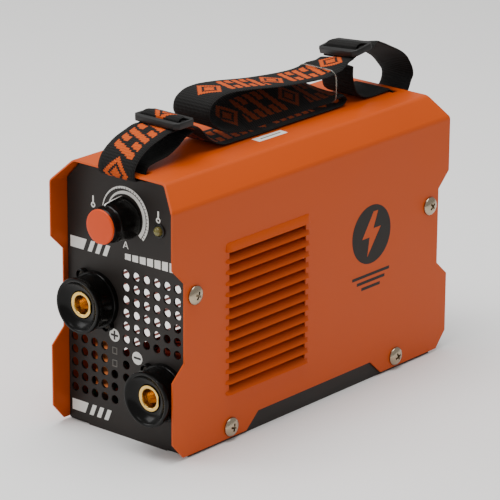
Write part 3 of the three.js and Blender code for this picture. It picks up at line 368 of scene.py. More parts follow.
def turned(name, at, profile, material, count=64, flute=None):
    """A profile of (radius, y) turned round an axis along Y through at = (x, z). flute(angle, radius, y)
    gives the radius on the way round."""
    points, rings = [], []
    for radius, y in profile:
        if radius == 0:
            rings.append([len(points)] * count)
            points.append((at[0], y, at[1]))
            continue
        ring = []
        for i in range(count):
            angle = 2 * math.pi * i / count
            reach = flute(angle, radius, y) if flute else radius
            ring.append(len(points))
            points.append((at[0] + reach * math.cos(angle), y, at[1] + reach * math.sin(angle)))
        rings.append(ring)
    faces = []
    for near, far in zip(rings, rings[1:]):
        for i in range(count):
            k = (i + 1) % count
            corners = list(dict.fromkeys([near[i], near[k], far[k], far[i]]))
            if len(corners) > 2:
                faces.append(tuple(corners))
    return shaded(outward(piece(name, points, faces, material)), 35)


def done(made, body, slot, *nodes):
    """Hangs a finished piece on its body, in place of the CAD nodes it stands for."""
    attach(made, body)
    if nodes:
        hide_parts(*nodes)
    return made


def spread(name, part, places, material, body, slot, *nodes):
    """Geometry Nodes: the part stands at each place (a point and a turn in radians), then is made real."""
    cloud = bpy.data.meshes.new(name + "_points")
    cloud.from_pydata([Vector(point) * MM for point, _ in places], [], [])
    turns = cloud.attributes.new("turn", "FLOAT_VECTOR", "POINT")
    turns.data.foreach_set("vector", [value for _, turn in places for value in turn])
    made = placed(name, cloud)
    tree = bpy.data.node_groups.new(name + "_layout", "GeometryNodeTree")
    for label, way, kind in (("Geometry", "INPUT", "Geometry"), ("Part", "INPUT", "Object"),
                             ("Size", "INPUT", "Float"), ("Finish", "INPUT", "Material"),
                             ("Geometry", "OUTPUT", "Geometry")):
        tree.interface.new_socket(label, in_out=way, socket_type="NodeSocket" + kind)
    entry = add(tree, "NodeGroupInput")
    shape = add(tree, "GeometryNodeObjectInfo", {"As Instance": True}, {"Object": entry.outputs["Part"]})
    turn = add(tree, "GeometryNodeInputNamedAttribute", {"data_type": "FLOAT_VECTOR", "Name": "turn"})
    copies = add(tree, "GeometryNodeInstanceOnPoints", {}, {
        "Points": entry.outputs["Geometry"], "Instance": shape.outputs["Geometry"],
        "Rotation": turn.outputs[0], "Scale": entry.outputs["Size"]})
    real = add(tree, "GeometryNodeRealizeInstances", {}, {0: copies.outputs[0]})
    painted = add(tree, "GeometryNodeSetMaterial", {}, {"Geometry": real.outputs[0],
                                                      "Material": entry.outputs["Finish"]})
    add(tree, "NodeGroupOutput", {}, {0: painted.outputs[0]})
    layout = made.modifiers.new("layout", "NODES")
    layout.node_group = tree
    values = {"Part": part, "Size": 1.0, "Finish": material}
    for item in tree.interface.items_tree:
        if item.in_out == "INPUT" and item.name in values:
            layout[item.identifier] = values[item.name]
    settled(made)
    bpy.data.objects.remove(part)
    return done(made, body, slot, *nodes)


# ---- the case --------------------------------------------------------------------------------

COVER_LOW, COVER_HIGH = box_mm("cover_shell")
PANEL_LOW, PANEL_HIGH = box_mm("front_panel")
LOUVRES_STAND = 2.0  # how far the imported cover's own louvres stand out of its sides
HALF_WIDTH, HALF_LENGTH = COVER_HIGH[0] - LOUVRES_STAND, COVER_HIGH[1]
TOP_HALF = HALF_LENGTH - 6.8  # the top's edges stay behind the ears
BOTTOM, TOP, SHEET = COVER_LOW[2], COVER_HIGH[2], 1.0
PANEL_HALF, PANEL_FACE = PANEL_HIGH[0], -PANEL_LOW[1]
PANEL_BACK = PANEL_FACE - 1.2
BEVEL_X, BEVEL_Z, BEND = 11.0, 11.8, 4.0
NOTCH = {"half": 47, "rise": 8.5, "slope": 9.5}
WAIST = {"depth": 9, "low": 51, "high": 94}  # heights here and below are from the cover's bottom edge
EAR = {"foot": 8, "rise": 9, "low": 42.8, "high": 102.8}
LOUVRE = {"front": -73.0, "length": 66.0, "bottom": 26.0, "pitch": 6.0, "count": 14, "proud": 1.95,
          "blade": 3.4, "hood": 4.9, "sunk": 2.8, "closed": 2.4}


def filleted(path, radius, steps=8):
    """An open path with its inner corners rounded."""
    made = [Vector(path[0])]
    for before, here, after in zip(path, path[1:], path[2:]):
        here = Vector(here)
        back, on = (Vector(before) - here).normalized(), (Vector(after) - here).normalized()
        reach = radius / math.tan(back.angle(on) / 2)
        start, end = here + back * reach, here + on * reach
        centre = here + (back + on).normalized() * radius / math.sin(back.angle(on) / 2)
        turn = (start - centre).angle_signed(end - centre)
        for i in range(steps + 1):
            angle = -turn * i / steps
            arm = start - centre
            made.append(centre + Vector((arm.x * math.cos(angle) - arm.y * math.sin(angle),
                                         arm.x * math.sin(angle) + arm.y * math.cos(angle))))
    return [tuple(p) for p in made] + [tuple(path[-1])]


def beside(path, gap):
    """The path moved sideways by gap, to its left."""
    made = []
    for i, here in enumerate(path):
        here = Vector(here)
        before = Vector(path[max(i - 1, 0)])
        after = Vector(path[min(i + 1, len(path) - 1)])
        first = (here - before).normalized() if (here - before).length else (after - here).normalized()
        second = (after - here).normalized() if (after - here).length else first
        normal = Vector((-first.y - second.y, first.x + second.x)).normalized()
        made.append(tuple(here + normal * gap / abs(normal.dot(Vector((-second.y, second.x))))))
    return made


def cover_end():
    """Half of the cover's outline from the side: foot notch, ear, waist, ear and the top's edge."""
    ear, waist, height = HALF_LENGTH, HALF_LENGTH - WAIST["depth"], TOP - BOTTOM
    outline = [(NOTCH["half"], NOTCH["rise"]), (NOTCH["half"] + NOTCH["slope"], 0), (ear - EAR["foot"], 0),
               (ear, EAR["rise"]), (ear, EAR["low"]), (waist, WAIST["low"]), (waist, WAIST["high"]),
               (ear, EAR["high"]), (ear, height - BEVEL_Z), (TOP_HALF, height + 0.01)]
    return [(y, z + BOTTOM) for y, z in outline]


def louvre_blade(height, sunk, span, name):
    """One pressed louvre about its lip's height z = 0 and the side face x = 0. It leans out from behind the
    louvre above to a lip at the bottom, and its ends close down to the sheet."""
    wall, rounded_end, slices, steps = 0.6, 2.6, 30, 10
    heights = [i / steps for i in range(steps + 1)]

    def lean(up):
        return (LOUVRE["proud"] + sunk) * (1 - up) ** 0.55 - sunk

    points, faces = [], []
    for k in range(slices + 1):
        share = k / slices
        y = span[0] + (span[1] - span[0]) * (0.5 - 0.5 * math.cos(math.pi * share))
        inset = min(y - span[0], span[1] - y) / rounded_end
        rise = math.sqrt(max(0.0, 1 - (1 - min(1.0, inset)) ** 2))
        points += [(lean(up) * rise, y, up * height) for up in heights]
        points += [(lean(up) * rise - wall, y, up * height - 0.35 * (1 - up) * up * rise)
                   for up in reversed(heights)]
    ring = 2 * (steps + 1)
    for k in range(slices):
        for i in range(ring):
            n = (i + 1) % ring
            faces.append((k * ring + i, k * ring + n, (k + 1) * ring + n, (k + 1) * ring + i))
    faces.append(tuple(range(ring)))
    faces.append(tuple(slices * ring + i for i in range(ring)))
    return shaded(outward(piece(name, points, faces, ORANGE_COAT)), 50)


def louvre_bank():
    """The louvres of both sides, and the taller hood over each side's top one."""
    span = (LOUVRE["front"], LOUVRE["front"] + LOUVRE["length"])

    def places(rows):
        """Each row's point and turn on either side; the left side's louvres are turned half round."""
        return [((side * HALF_WIDTH, 0 if side > 0 else sum(span), LOUVRE["bottom"] + row * LOUVRE["pitch"]),
                 (0, 0, 0 if side > 0 else math.pi)) for side in (-1, 1) for row in rows]

    top = LOUVRE["count"] - 1
    blade = louvre_blade(LOUVRE["blade"], LOUVRE["sunk"], span, "louvre")
    spread("louvres", blade, places(range(top)), ORANGE_COAT, "case", "orange_powder_coat")
    hood = louvre_blade(LOUVRE["hood"], 0.1, span, "top_louvre")
    spread("top_louvres", hood, places([top]), ORANGE_COAT, "case", "orange_powder_coat")


COVER_SCREWS = [f"cover_screw_{n}" for n in range(1, 9)]
SCREW_PLACES = [(math.copysign(1, x), y, z) for x, y, z in map(middle, COVER_SCREWS)]
STRAP_SLOT = {"half": 14.5, "depth": 5.0, "y": TOP_HALF - 6.7}


def cover():
    """The folded sheet, cut to its outline and pierced for louvres, strap and screws."""
    x, shoulder = HALF_WIDTH, TOP - BEVEL_Z
    half = [(x, BOTTOM), (x, shoulder), (x - BEVEL_X, TOP)]
    corners = half + [(-a, z) for a, z in reversed(half)]
    outer = filleted(corners, BEND + SHEET / 2)
    inner = beside(outer, SHEET)
    sheet = prism("cover", "y", outer + inner[::-1], (-HALF_LENGTH, HALF_LENGTH), ORANGE_COAT)
    rear_half = cover_end()
    outline = rear_half + [(-y, z) for y, z in reversed(rear_half)]
    carved(sheet, prism("ends", "x", outline, (-x - 2, x + 2), ORANGE_COAT), operation="INTERSECT")
    low = LOUVRE["bottom"] - 0.3
    high = LOUVRE["bottom"] + LOUVRE["pitch"] * (LOUVRE["count"] - 1) + LOUVRE["hood"] - 0.8
    window = (LOUVRE["front"] + LOUVRE["closed"], LOUVRE["front"] + LOUVRE["length"] - LOUVRE["closed"])
    cutters = [prism("window", "y", rectangle(*one_side(side, x - 3, x + 2), low, high), window, ORANGE_COAT)
               for side in (-1, 1)]
    cutters += [prism("slot", "z", about((0, end * STRAP_SLOT["y"]), STRAP_SLOT["half"],
                                         STRAP_SLOT["depth"] / 2), (TOP - 3, TOP + 1), ORANGE_COAT)
                for end in (-1, 1)]
    cutters += [prism("screw_hole", "x", circle((y, z), 2.2, 16), one_side(side, x - 3, x + 2), ORANGE_COAT)
                for side, y, z in SCREW_PLACES]
    carved(sheet, combined("cover_cutters", cutters))
    softened(sheet, 0.18, 1, 50)
    done(shaded(sheet, 28), "case", "orange_powder_coat", "cover_shell")


# ---- front and rear panels ---------------------------------------------------------------------

KNOB_AT, POINTER_AT = axis_of("knob_body"), 99
POSITIVE, NEGATIVE = axis_of("socket_insert_positive"), axis_of("socket_insert_negative")
LOBES = {POSITIVE: 126, NEGATIVE: 138}  # the angle of a socket's first screw; its second is opposite
LOBE_R = 14.6
LAMPS = {which: axis_of(f"led_{which}") for which in ("power", "overheat")}
ROCKER_AT, GLAND_AT, GLAND_BORE = axis_of("switch_body"), axis_of("gland_body"), 4.6
FAN_Z, FAN_BOLT = middle("fan_frame")[2], 31
FAN_SCREWS = [(x, FAN_Z + z) for x in (-FAN_BOLT, FAN_BOLT) for z in (-FAN_BOLT, FAN_BOLT)]
HOLE_R, PITCH = 2.45, 7.1


def panel_outline():
    """A panel's outline: its lifted lower corners, the cover's bevels, and a notch for the strap."""
    shoulder, head, notch = TOP - BEVEL_Z - 1.3, TOP - 1.3, TOP - 4.2
    half = [(PANEL_HALF - 14, 0), (PANEL_HALF - 13, 1), (PANEL_HALF, 1), (PANEL_HALF, shoulder),
            (PANEL_HALF - BEVEL_X, head), (STRAP_SLOT["half"], head), (STRAP_SLOT["half"], notch)]
    return half + [(-x, z) for x, z in reversed(half)]


def panel(end, name, holes, others):
    """A pierced sheet with a flange down each side; end is -1 for the front panel and 1 for the rear."""
    face = prism(name, "y", panel_outline(), one_side(end, PANEL_BACK, PANEL_FACE), BLACK_COAT)
    span = one_side(end, PANEL_FACE - 4, PANEL_FACE + 4)
    cutters = [prism("hole", "y", circle(at, HOLE_R, 20), span, BLACK_COAT) for at in holes]
    cutters += [prism("hole", "y", outline, span, BLACK_COAT) for outline in others]
    carved(face, combined("panel_cutters", cutters))
    flanges = [prism("flange", "z", rectangle(*one_side(side, PANEL_HALF, PANEL_HALF - 1.2),
                                              *one_side(end, PANEL_FACE - 14, PANEL_BACK)),
                     (52.5, 124.3), BLACK_COAT) for side in (-1, 1)]
    return shaded(combined(name, [face, *flanges]), 30)


def grid(columns, rows, x0, z0):
    """A block of hole places from its lower left one."""
    return [(x0 + i * PITCH, BOTTOM + z0 + j * PITCH) for j in range(rows) for i in range(columns)]


def clear_of(at, radius, places):
    """The places whose holes stay a millimetre clear of a circle."""
    return [p for p in places if math.hypot(p[0] - at[0], p[1] - at[1]) > radius + HOLE_R + 1]


def front_panel():
    """Two blocks of holes and a column between them, left plain round the sockets and the printed signs."""
    spigot = 10.4
    holes = grid(5, 6, -37.2, 17.4) + grid(6, 6, -0.6, 52.9) + grid(1, 3, -0.6, 31.6)
    holes = clear_of(NEGATIVE, spigot, clear_of(POSITIVE, spigot, holes))
    holes = [(x, z) for x, z in holes if x < PANEL_HALF - 5 and not (x < -8 and z > BOTTOM + 50)
             and not (-12 < x < -5 and BOTTOM + 34 < z < BOTTOM + 50)]
    others = [circle(at, spigot + 0.2, 40) for at in (POSITIVE, NEGATIVE)]
    others += [circle(at, 3.3, 24) for at in LAMPS.values()] + [circle(KNOB_AT, 3.8, 24)]
    done(panel(-1, "front_panel_sheet", holes, others), "case", "black_powder_coat", "front_panel")


def rear_panel():
    """A round field of holes over the fan, and openings for its screws, the gland and the switch."""
    fan_r, steps = 32, range(-4, 5)
    holes = [(i * PITCH, FAN_Z + j * PITCH) for i in steps for j in steps
             if math.hypot(i * PITCH, j * PITCH) < fan_r - HOLE_R]
    others = [circle(at, 2.0, 16) for at in FAN_SCREWS] + [circle(GLAND_AT, 8.1, 32)]
    others.append(about(ROCKER_AT, 10.3, 13.3))
    done(panel(1, "rear_panel_sheet", holes, others), "case", "black_powder_coat", "rear_panel")


# ---- printing ----------------------------------------------------------------------------------

INK = 0.06  # how thick a print or a label lies on its face
PRINTED_ON = {"x": "orange_powder_coat", "y": "black_powder_coat", "z": "orange_powder_coat"}
PANEL_PRINT = (-PANEL_FACE, "y", PALE_INK)


def printed(name, outlines, at, axis, material, holes=()):
    """Flat shapes of ink on the face that lies at a place along an axis."""
    span = (at, at + INK) if at > 0 else (at - INK, at)
    shapes = combined(name, [prism("ink", axis, outline, span, material) for outline in outlines])
    if holes:
        wide = (span[0] - 1, span[1] + 1)
        carved(shapes, combined("ink_cutters", [prism("gap", axis, gap, wide, material) for gap in holes]))
    return done(shapes, "case", PRINTED_ON[axis])


def arc_band(at, inner, outer, start, end, steps=60):
    """A band between two radii; inner and outer give them from the share of the way along."""
    shares = [i / steps for i in range(steps + 1)]
    return [polar(at, radius(t), start + (end - start) * t)
            for radius, way in ((outer, shares), (inner, shares[::-1])) for t in way]


def slanted_bars(x, z):
    """A block and three leaning bars."""
    low, high, lean, width = z + 0.5, z + 6.6, 2.5, 2.8
    block = [(x, low), (x + 9.2, low), (x + 11.6, high), (x, high)]
    bars = [[(x + k, low), (x + k + width, low), (x + k + width + lean, high), (x + k + lean, high)]
            for k in (12.2, 17.5, 22.8)]
    return [block, *bars]


def thermometer(x, z):
    """A bulb with a narrow stem."""
    bulb = circle((x, z), 1.5, 20, 110, 320)
    return [[(x - 0.5, z + 4.9), *bulb, (x + 0.5, z + 4.9)]]


def dial_print():
    """Two bands that widen from their left ends, with fine dark marks along the outer one."""
    dial = (-0.5, 120.9)

    def widening(t):
        return min(1, 2.2 * t)

    bands = [arc_band(dial, lambda t: 15.7 - 1.1 * widening(t), lambda t: 16.1, 176, -40),
             arc_band(dial, lambda t: 12.1, lambda t: 12.5 + 1.6 * widening(t), 168, -42)]
    printed("dial_print", bands, *PANEL_PRINT)
    marks, half = [], 0.14
    for i in range(28):
        angle = math.radians(150 - 185 * i / 27)
        ray, side = Vector((math.cos(angle), math.sin(angle))), Vector((-math.sin(angle), math.cos(angle)))
        near, far = (14.6, 15.4) if i % 3 else (14.2, 15.8)
        corners = [ray * r + side * s for r, s in ((near, -half), (far, -half), (far, half), (near, half))]
        marks.append([(dial[0] + c.x, dial[1] + c.y) for c in corners])
    printed("dial_marks", marks, -PANEL_FACE - INK, "y", DARK_INK)


def front_print():
    """Slanted bars, a row of rising level bars, a letter A, lamp symbols and the sockets' signs."""
    low, width = 98.0, 4.0
    level = [[(x, low), (x + width, low), (x + width, 101.4 + 0.3 * i), (x, 101.1 + 0.3 * i)]
             for i, x in enumerate((-0.9, 4.2, 9.3, 14.4, 19.5, 24.6, 29.7))]
    foot, crotch, peak = 103.9, 106.9, 107.7
    letter = [[(-2.3, foot), (-1.8, foot), (-0.4, crotch), (1.0, foot), (1.5, foot), (-0.1, peak),
               (-0.7, peak)], rectangle(-1.5, 0.7, 104.9, 105.3)]
    slants = slanted_bars(-39.3, 96.1) + slanted_bars(-39.3, 5.4)
    printed("panel_print", slants + level + letter, *PANEL_PRINT)
    bulbs = ((-22.9, 122.6), (22.1, 123.8))
    symbols = [outline for bulb in bulbs for outline in thermometer(*bulb)]
    printed("lamp_symbols", symbols, *PANEL_PRINT, [circle(bulb, 0.7, 16) for bulb in bulbs])
    plus, minus = (-8.7, 54.7), (7.2, 45.9)
    arm, half = 2.55, 0.6
    cross = [(plus[0] + x, plus[1] + z) for x, z in (
        (-arm, -half), (-half, -half), (-half, -arm), (half, -arm), (half, -half), (arm, -half), (arm, half),
        (half, half), (half, arm), (-half, arm), (-half, half), (-arm, half))]
    printed("polarity_discs", [circle(at, 3.5, 40) for at in (plus, minus)], *PANEL_PRINT,
            [cross, about(minus, arm, half)])
    squares = ((-8.6, 46.2), (-8.6, 39.2))
    printed("small_squares", [about(at, 1.7, 1.9) for at in squares], -PANEL_FACE, "y", GREY_INK,
            [about(at, 1.2, 1.4) for at in squares])


def side_print():
    """A plain roundel with a spark, and three rules below it, on both sides of the cover."""
    (y, z), radius = (46, 84), 16.5
    spark = [(1.5, 12.5), (-8, -1.5), (-1.6, -1.5), (-3.5, -12.5), (8, 3), (1.6, 3), (5.5, 12.5)]
    rules = [rectangle(y - half, y + half, low, low + 1.7) for half, low in ((16, 60.5), (12, 57), (8, 53.5))]
    for name, side in (("right_emblem", 1), ("left_emblem", -1)):
        bolt = [(y + side * along, z + up) for along, up in spark]
        printed(name, [circle((y, z), radius, 72), *rules], side * HALF_WIDTH, "x", DARK_INK, [bolt])


def top_label():
    """A small sticker laid a little askew, with one grey rule."""
    printed("paper_label", [[(14.1, -20.6), (20.0, -21.1), (20.2, 1.6), (14.5, 2.4)]], TOP, "z", PAPER)
    printed("label_rule", [rectangle(16.7, 17.6, -17, -1)], TOP + INK, "z", GREY_INK)


# ---- knob, lamps and sockets -------------------------------------------------------------------


def rail(name, route, foot, crown_half, foot_half, material):
    """A bar down the knob's side, along a route of (radius, y). Its foot lies a depth below its crown."""
    turn = math.radians(POINTER_AT)
    ray, side = Vector((math.cos(turn), 0, math.sin(turn))), Vector((-math.sin(turn), 0, math.cos(turn)))
    centre = Vector((KNOB_AT[0], 0, KNOB_AT[1]))
    points = [centre + ray * (radius - drop) + side * way * half + Vector((0, y, 0)) for radius, y in route
              for way in (-1, 1) for drop, half in ((0, crown_half), (foot, foot_half))]
    last = 4 * (len(route) - 1)
    faces = [(0, 1, 3, 2)]
    for a in range(0, last, 4):
        faces += [(a, a + 2, a + 6, a + 4), (a + 1, a + 5, a + 7, a + 3), (a, a + 4, a + 5, a + 1),
                  (a + 2, a + 3, a + 7, a + 6)]
    faces.append((last, last + 2, last + 3, last + 1))
    done(outward(piece(name, points, faces, material)), "knob", "gloss_black_plastic")


def knob():
    """A scalloped grip that narrows forwards, its orange button, and a ridge with a white pointer on it."""
    (_, front, _), (_, rear, _) = box_mm("knob_body")
    skirt = rear - 13.4

    def flute(angle, radius, y):
        if radius < 9.75 or y > rear - 1:
            return radius
        return radius - 0.35 * (0.5 - 0.5 * math.cos(8 * angle)) * min(1, (rear - 1 - y) / 3)

    profile = [(0, rear - 4.4), (7.2, rear - 4.4), (7.2, rear), (10.5, rear), (10.8, rear - 0.3),
               (10.85, rear - 0.8), (10.8, rear - 1.6), (10.65, rear - 4), (10.5, rear - 7),
               (10.3, rear - 10), (10.1, skirt + 0.9), (10.0, skirt + 0.4), (9.8, skirt + 0.1), (9.5, skirt),
               (9.4, skirt - 0.3), (9.3, front + 0.8), (9.2, front + 0.3), (8.9, front), (0, front)]
    body = turned("knob_grip", KNOB_AT, profile, POLISHED_NYLON, 144, flute)
    done(body, "knob", "gloss_black_plastic", "knob_body")
    button = [(0, front + 0.2), (8.6, front + 0.2), (8.8, front - 0.05), (9.15, front - 0.2),
              (9.2, front - 0.5), (9.2, front - 0.9), (9.05, front - 1.25), (8.7, front - 1.42),
              (8.0, front - 1.46), (0, front - 1.5)]
    done(turned("knob_button", KNOB_AT, button, ORANGE_ABS, 96), "knob", "orange_plastic", "knob_cap")
    crest = [(11.98, rear - 0.5), (11.95, rear - 1.6), (11.7, rear - 4), (11.4, rear - 7),
             (11.0, rear - 10), (10.6, skirt + 0.8), (10.3, skirt + 0.15), (9.8, skirt - 0.15)]
    rail("knob_ridge", [(radius - 0.08, y) for radius, y in crest], 1.92, 1.0, 2.2, POLISHED_NYLON)
    rail("knob_pointer", crest, 0.8, 0.45, 0.45, PALE_INK)


def lamps():
    """Domed lenses in moulded collars."""
    face, radius, stands = -PANEL_FACE, 2.5, 0.9
    quarter = [math.pi / 2 * i / 10 for i in range(10)]
    dome = [(radius * math.cos(a), face - stands - radius * math.sin(a)) for a in quarter]
    for which, at in LAMPS.items():
        lens = [(0, face + 2), (radius, face + 2), (radius, face)] + dome + [(0, face - 3.4)]
        done(turned(f"{which}_lens", at, lens, LAMP_LENS, 40), "case", "lamp_lens", f"led_{which}")
        collar = [(2.6, face + 0.2), (3.9, face + 0.2), (3.9, face - 0.3), (3.6, face - 0.8), (3.1, face - 1),
                  (2.8, face - 0.95), (2.6, face - 0.7), (2.6, face + 0.2)]
        done(turned(f"{which}_collar", at, collar, TEXTURED_NYLON, 40), "case", "gloss_black_plastic",
             f"led_bezel_{which}")


def socket_screw_axes(at):
    return [polar(at, LOBE_R, LOBES[at] + half_turn) for half_turn in (0, 180)]


def socket_body(sign, at, front):
    """A moulded ring with a dished mouth, on a flange with a lobe for each screw."""
    face, back = -PANEL_FACE, -PANEL_FACE + 4.6
    profile = [(7.3, back), (7.3, front + 4), (7.6, front + 3.55), (8.6, front + 3.4), (10.4, front + 2.7),
               (12.0, front + 1.5), (12.7, front + 0.7), (13.1, front + 0.2), (13.6, front), (14.2, front),
               (14.6, front + 0.15), (14.8, front + 0.6), (14.8, front + 2.6), (14.7, front + 3.1),
               (14.35, front + 3.6), (14.2, front + 6), (14.0, face - 3.4), (14.1, face - 3),
               (15.0, face - 3), (15.3, face - 2.7), (15.4, face - 2.2), (15.4, face), (10.4, face),
               (10.4, back + 0.2), (7.3, back + 0.2), (7.3, back)]
    lobe = [(2.7, face - 1.5), (2.7, face - 2.9), (3.0, face - 3.05), (3.3, face - 2.8), (3.4, face - 2.4),
            (3.4, face), (1.4, face), (1.4, face - 1.5), (2.7, face - 1.5)]
    parts = [turned(f"{sign}_socket", at, profile, POLISHED_NYLON, 96)]
    parts += [turned("lobe", axis, lobe, POLISHED_NYLON, 40) for axis in socket_screw_axes(at)]
    done(combined(f"{sign}_socket_body", parts), "case", "gloss_black_plastic", f"socket_{sign}")


def socket(sign, at):
    """The moulded body and the brass insert, which has a keyway at 52 degrees and a flat on its rim."""
    front = box_mm(f"socket_{sign}")[0][1]
    socket_body(sign, at, front)
    mouth, stud = front + 3.0, -PANEL_FACE + 5

    def key(angle, radius, _):
        away = abs((angle - math.radians(52) + math.pi) % (2 * math.pi) - math.pi)
        if radius > 5.6:
            return min(radius, 6.5 / max(0.2, math.cos(angle))) if math.cos(angle) > 0.88 else radius
        return radius + max(0, 1.5 - away * 6)

    liner = [(0, mouth + 15), (3.6, mouth + 15), (4.6, mouth + 14.4), (4.6, mouth + 12), (5.0, mouth + 11.7),
             (5.0, mouth + 5), (4.85, mouth + 4.7), (4.85, mouth + 2.4), (5.0, mouth + 2.1),
             (5.0, mouth + 0.5), (5.15, mouth + 0.25), (5.4, mouth + 0.05), (5.7, mouth), (6.7, mouth),
             (6.95, mouth + 0.1), (7.05, mouth + 0.4), (7.0, stud), (4.0, stud), (4.0, stud + 9.5),
             (3.6, stud + 10), (0, stud + 10)]
    done(turned(f"{sign}_insert", at, liner, TURNED_BRASS, 96, key), "case", "turned_brass",
         f"socket_insert_{sign}")


# ---- screws ------------------------------------------------------------------------------------


def pan_head(name, radius, height, shank, length, material):
    """A pan-head screw with a cross recess, standing along -Y with its seat at y = 0."""
    head = [(radius * math.cos(a), -0.22 * height - 0.78 * height * math.sin(a) ** 1.15)
            for a in [math.pi / 2 * i / 9 for i in range(9)]]
    profile = [(0, length), (shank * 0.7, length), (shank, length - 0.6), (shank, 0), (radius, 0)] + head
    screw = turned(name, (0, 0), profile + [(0, -height)], material, 40)
    arm, half = radius * 0.52, radius * 0.115
    floor = -height * 0.25
    tops = [(arm, -height * 1.2), (arm * 0.45, floor)]
    cutters = []
    for turn in (0, 90):
        rotate = Matrix.Rotation(math.radians(turn), 3, "Y")
        points = [rotate @ Vector((x * reach, y, w * half))
                  for reach, y in tops for x in (-1, 1) for w in (-1, 1)]
        faces = [(0, 1, 3, 2), (4, 5, 7, 6), (0, 1, 5, 4), (2, 3, 7, 6), (0, 2, 6, 4), (1, 3, 7, 5)]
        cutters.append(outward(piece("cross", points, faces, material)))
    carved(screw, *cutters)
    return shaded(screw, 32)


def screws():
    """The cover's, the fan's and the sockets' screws."""
    places, rolls = [], (38, 71, 12, 55, 24, 49, 8, 66)
    for (side, y, z), roll in zip(SCREW_PLACES, rolls):
        turn = Matrix.Rotation(math.radians(90 * side), 3, "Z") @ Matrix.Rotation(math.radians(roll), 3, "Y")
        places.append(((side * HALF_WIDTH, y, z), tuple(turn.to_euler())))
    head = pan_head("cover_screw", 5.2, 2.6, 1.9, 7, PLATED_STEEL)
    spread("cover_screws", head, places, PLATED_STEEL, "case", "zinc_plated_steel", *COVER_SCREWS)
    bolts = [((x, PANEL_FACE, z), (0, math.radians(20 + x + z), math.pi)) for x, z in FAN_SCREWS]
    head = pan_head("fan_screw", 3.4, 1.9, 1.7, 1, BLACK_OXIDE)
    spread("fan_screws", head, bolts, BLACK_OXIDE, "case", "zinc_plated_steel")
    seat = -PANEL_FACE - 1.45
    seats = [((x, seat, z), (0, math.radians(30), 0))
             for at in (POSITIVE, NEGATIVE) for x, z in socket_screw_axes(at)]
    names = [f"socket_screw_{sign}_{i}" for sign in ("positive", "negative") for i in (1, 2)]
    head = pan_head("socket_screw", 2.4, 1.5, 1.25, 6, BLACK_OXIDE)
    spread("socket_screws", head, seats, BLACK_OXIDE, "case", "zinc_plated_steel", *names)


# ---- strap and buckles -------------------------------------------------------------------------

WIDTH, THICK, SLIP = 25.0, 1.4, 0.3
NOWHERE, BEND_CELLS = range(0), range(224, 260)
PATTERN = {"middle": 12, "repeat": 50, "lozenge": 17, "bars": 19, "end": 48, "half": 8, "pitch": 6}
FIRST = TOP + SLIP + THICK / 2  # the grip's lowest layer lies on the cover, and its second on that
SECOND = FIRST + THICK + SLIP
BUCKLE = {"width": 31, "bar": 3.0, "window": 3.2, "thickness": 3.4, "corner": 2.5}
WINDOW_Y = (BUCKLE["bar"] + BUCKLE["window"]) / 2
OVER_BAR = BUCKLE["thickness"] / 2 + SLIP + THICK / 2


def from_front(distance):
    return distance - TOP_HALF


def from_rear(distance):
    return TOP_HALF - distance


FRONT_BUCKLE = {"at": (0, from_front(34.3), TOP + 19.8), "heading": 0, "roll": 0, "pitch": 0}
REAR_BUCKLE = {"at": (0, from_rear(33.2), TOP + 28), "heading": -9, "roll": 7, "pitch": 12}


def buckle_frame(place):
    """A buckle's place and turn, in millimetres."""
    heading, roll, pitch = (math.radians(place[k]) for k in ("heading", "roll", "pitch"))
    turn = Matrix.Rotation(heading, 4, "Z") @ Matrix.Rotation(-roll, 4, "Y") @ Matrix.Rotation(pitch, 4, "X")
    return Matrix.Translation(Vector(place["at"])) @ turn


def threading(place):
    """The webbing's stations up through one window of a buckle, over its bar and down the other."""
    bottom, side = -BUCKLE["thickness"] / 2 - 1.2, WINDOW_Y
    half = [(side + 3, bottom), (side + 0.6, bottom + 0.5), (side, 0), (side - 0.2, OVER_BAR - 1),
            (side - 1.3, OVER_BAR)]
    turn = buckle_frame(place)
    return [(*(turn @ Vector((0, y, z))), place["heading"], place["roll"])
            for y, z in [(-y, z) for y, z in half] + half[::-1]]


def catmull(points, t):
    """A centripetal Catmull-Rom curve through points at t from 0 to 1, as a point."""
    last = len(points) - 1
    along = min(t * last, last - 1e-9)
    k = int(along)
    weight = along - k
    p1, p2 = points[k], points[k + 1]
    p0 = points[k - 1] if k > 0 else p1 * 2 - p2
    p3 = points[k + 2] if k + 2 <= last else p2 * 2 - p1
    d0, d1, d2 = ((a - b).length_squared ** 0.25 for a, b in ((p1, p0), (p2, p1), (p3, p2)))
    d1 = d1 if d1 > 1e-4 else 1.0
    d0 = d0 if d0 > 1e-4 else d1
    d2 = d2 if d2 > 1e-4 else d1
    m1 = ((p1 - p0) / d0 - (p2 - p0) / (d0 + d1) + (p2 - p1) / d1) * d1
    m2 = ((p2 - p1) / d1 - (p3 - p1) / (d1 + d2) + (p3 - p2) / d2) * d1
    w2, w3 = weight * weight, weight ** 3
    return (p1 * (2 * w3 - 3 * w2 + 1) + m1 * (w3 - 2 * w2 + weight)
            + p2 * (3 * w2 - 2 * w3) + m2 * (w3 - w2))


def yarn(i, j):
    """1 where the woven pattern shows, in cells of a millimetre: a lozenge inside a lozenge, then leaning
    bars broken along their middle."""
    across, along = abs(i - PATTERN["middle"]), j % PATTERN["repeat"]
    if along < PATTERN["lozenge"]:
        depth = min(along, PATTERN["lozenge"] - 1 - along) - across
        return 1.0 if depth >= 0 and not 3 <= depth < 5 else 0.0
    lean = along - PATTERN["bars"] + (i - PATTERN["middle"]) * 0.4
    if across > PATTERN["half"] or along > PATTERN["end"] or lean < 0:
        return 0.0
    bar, within = divmod(lean, PATTERN["pitch"])
    return 0.0 if within > 3.9 or (bar % 2 == 1 and across <= 2) else 1.0


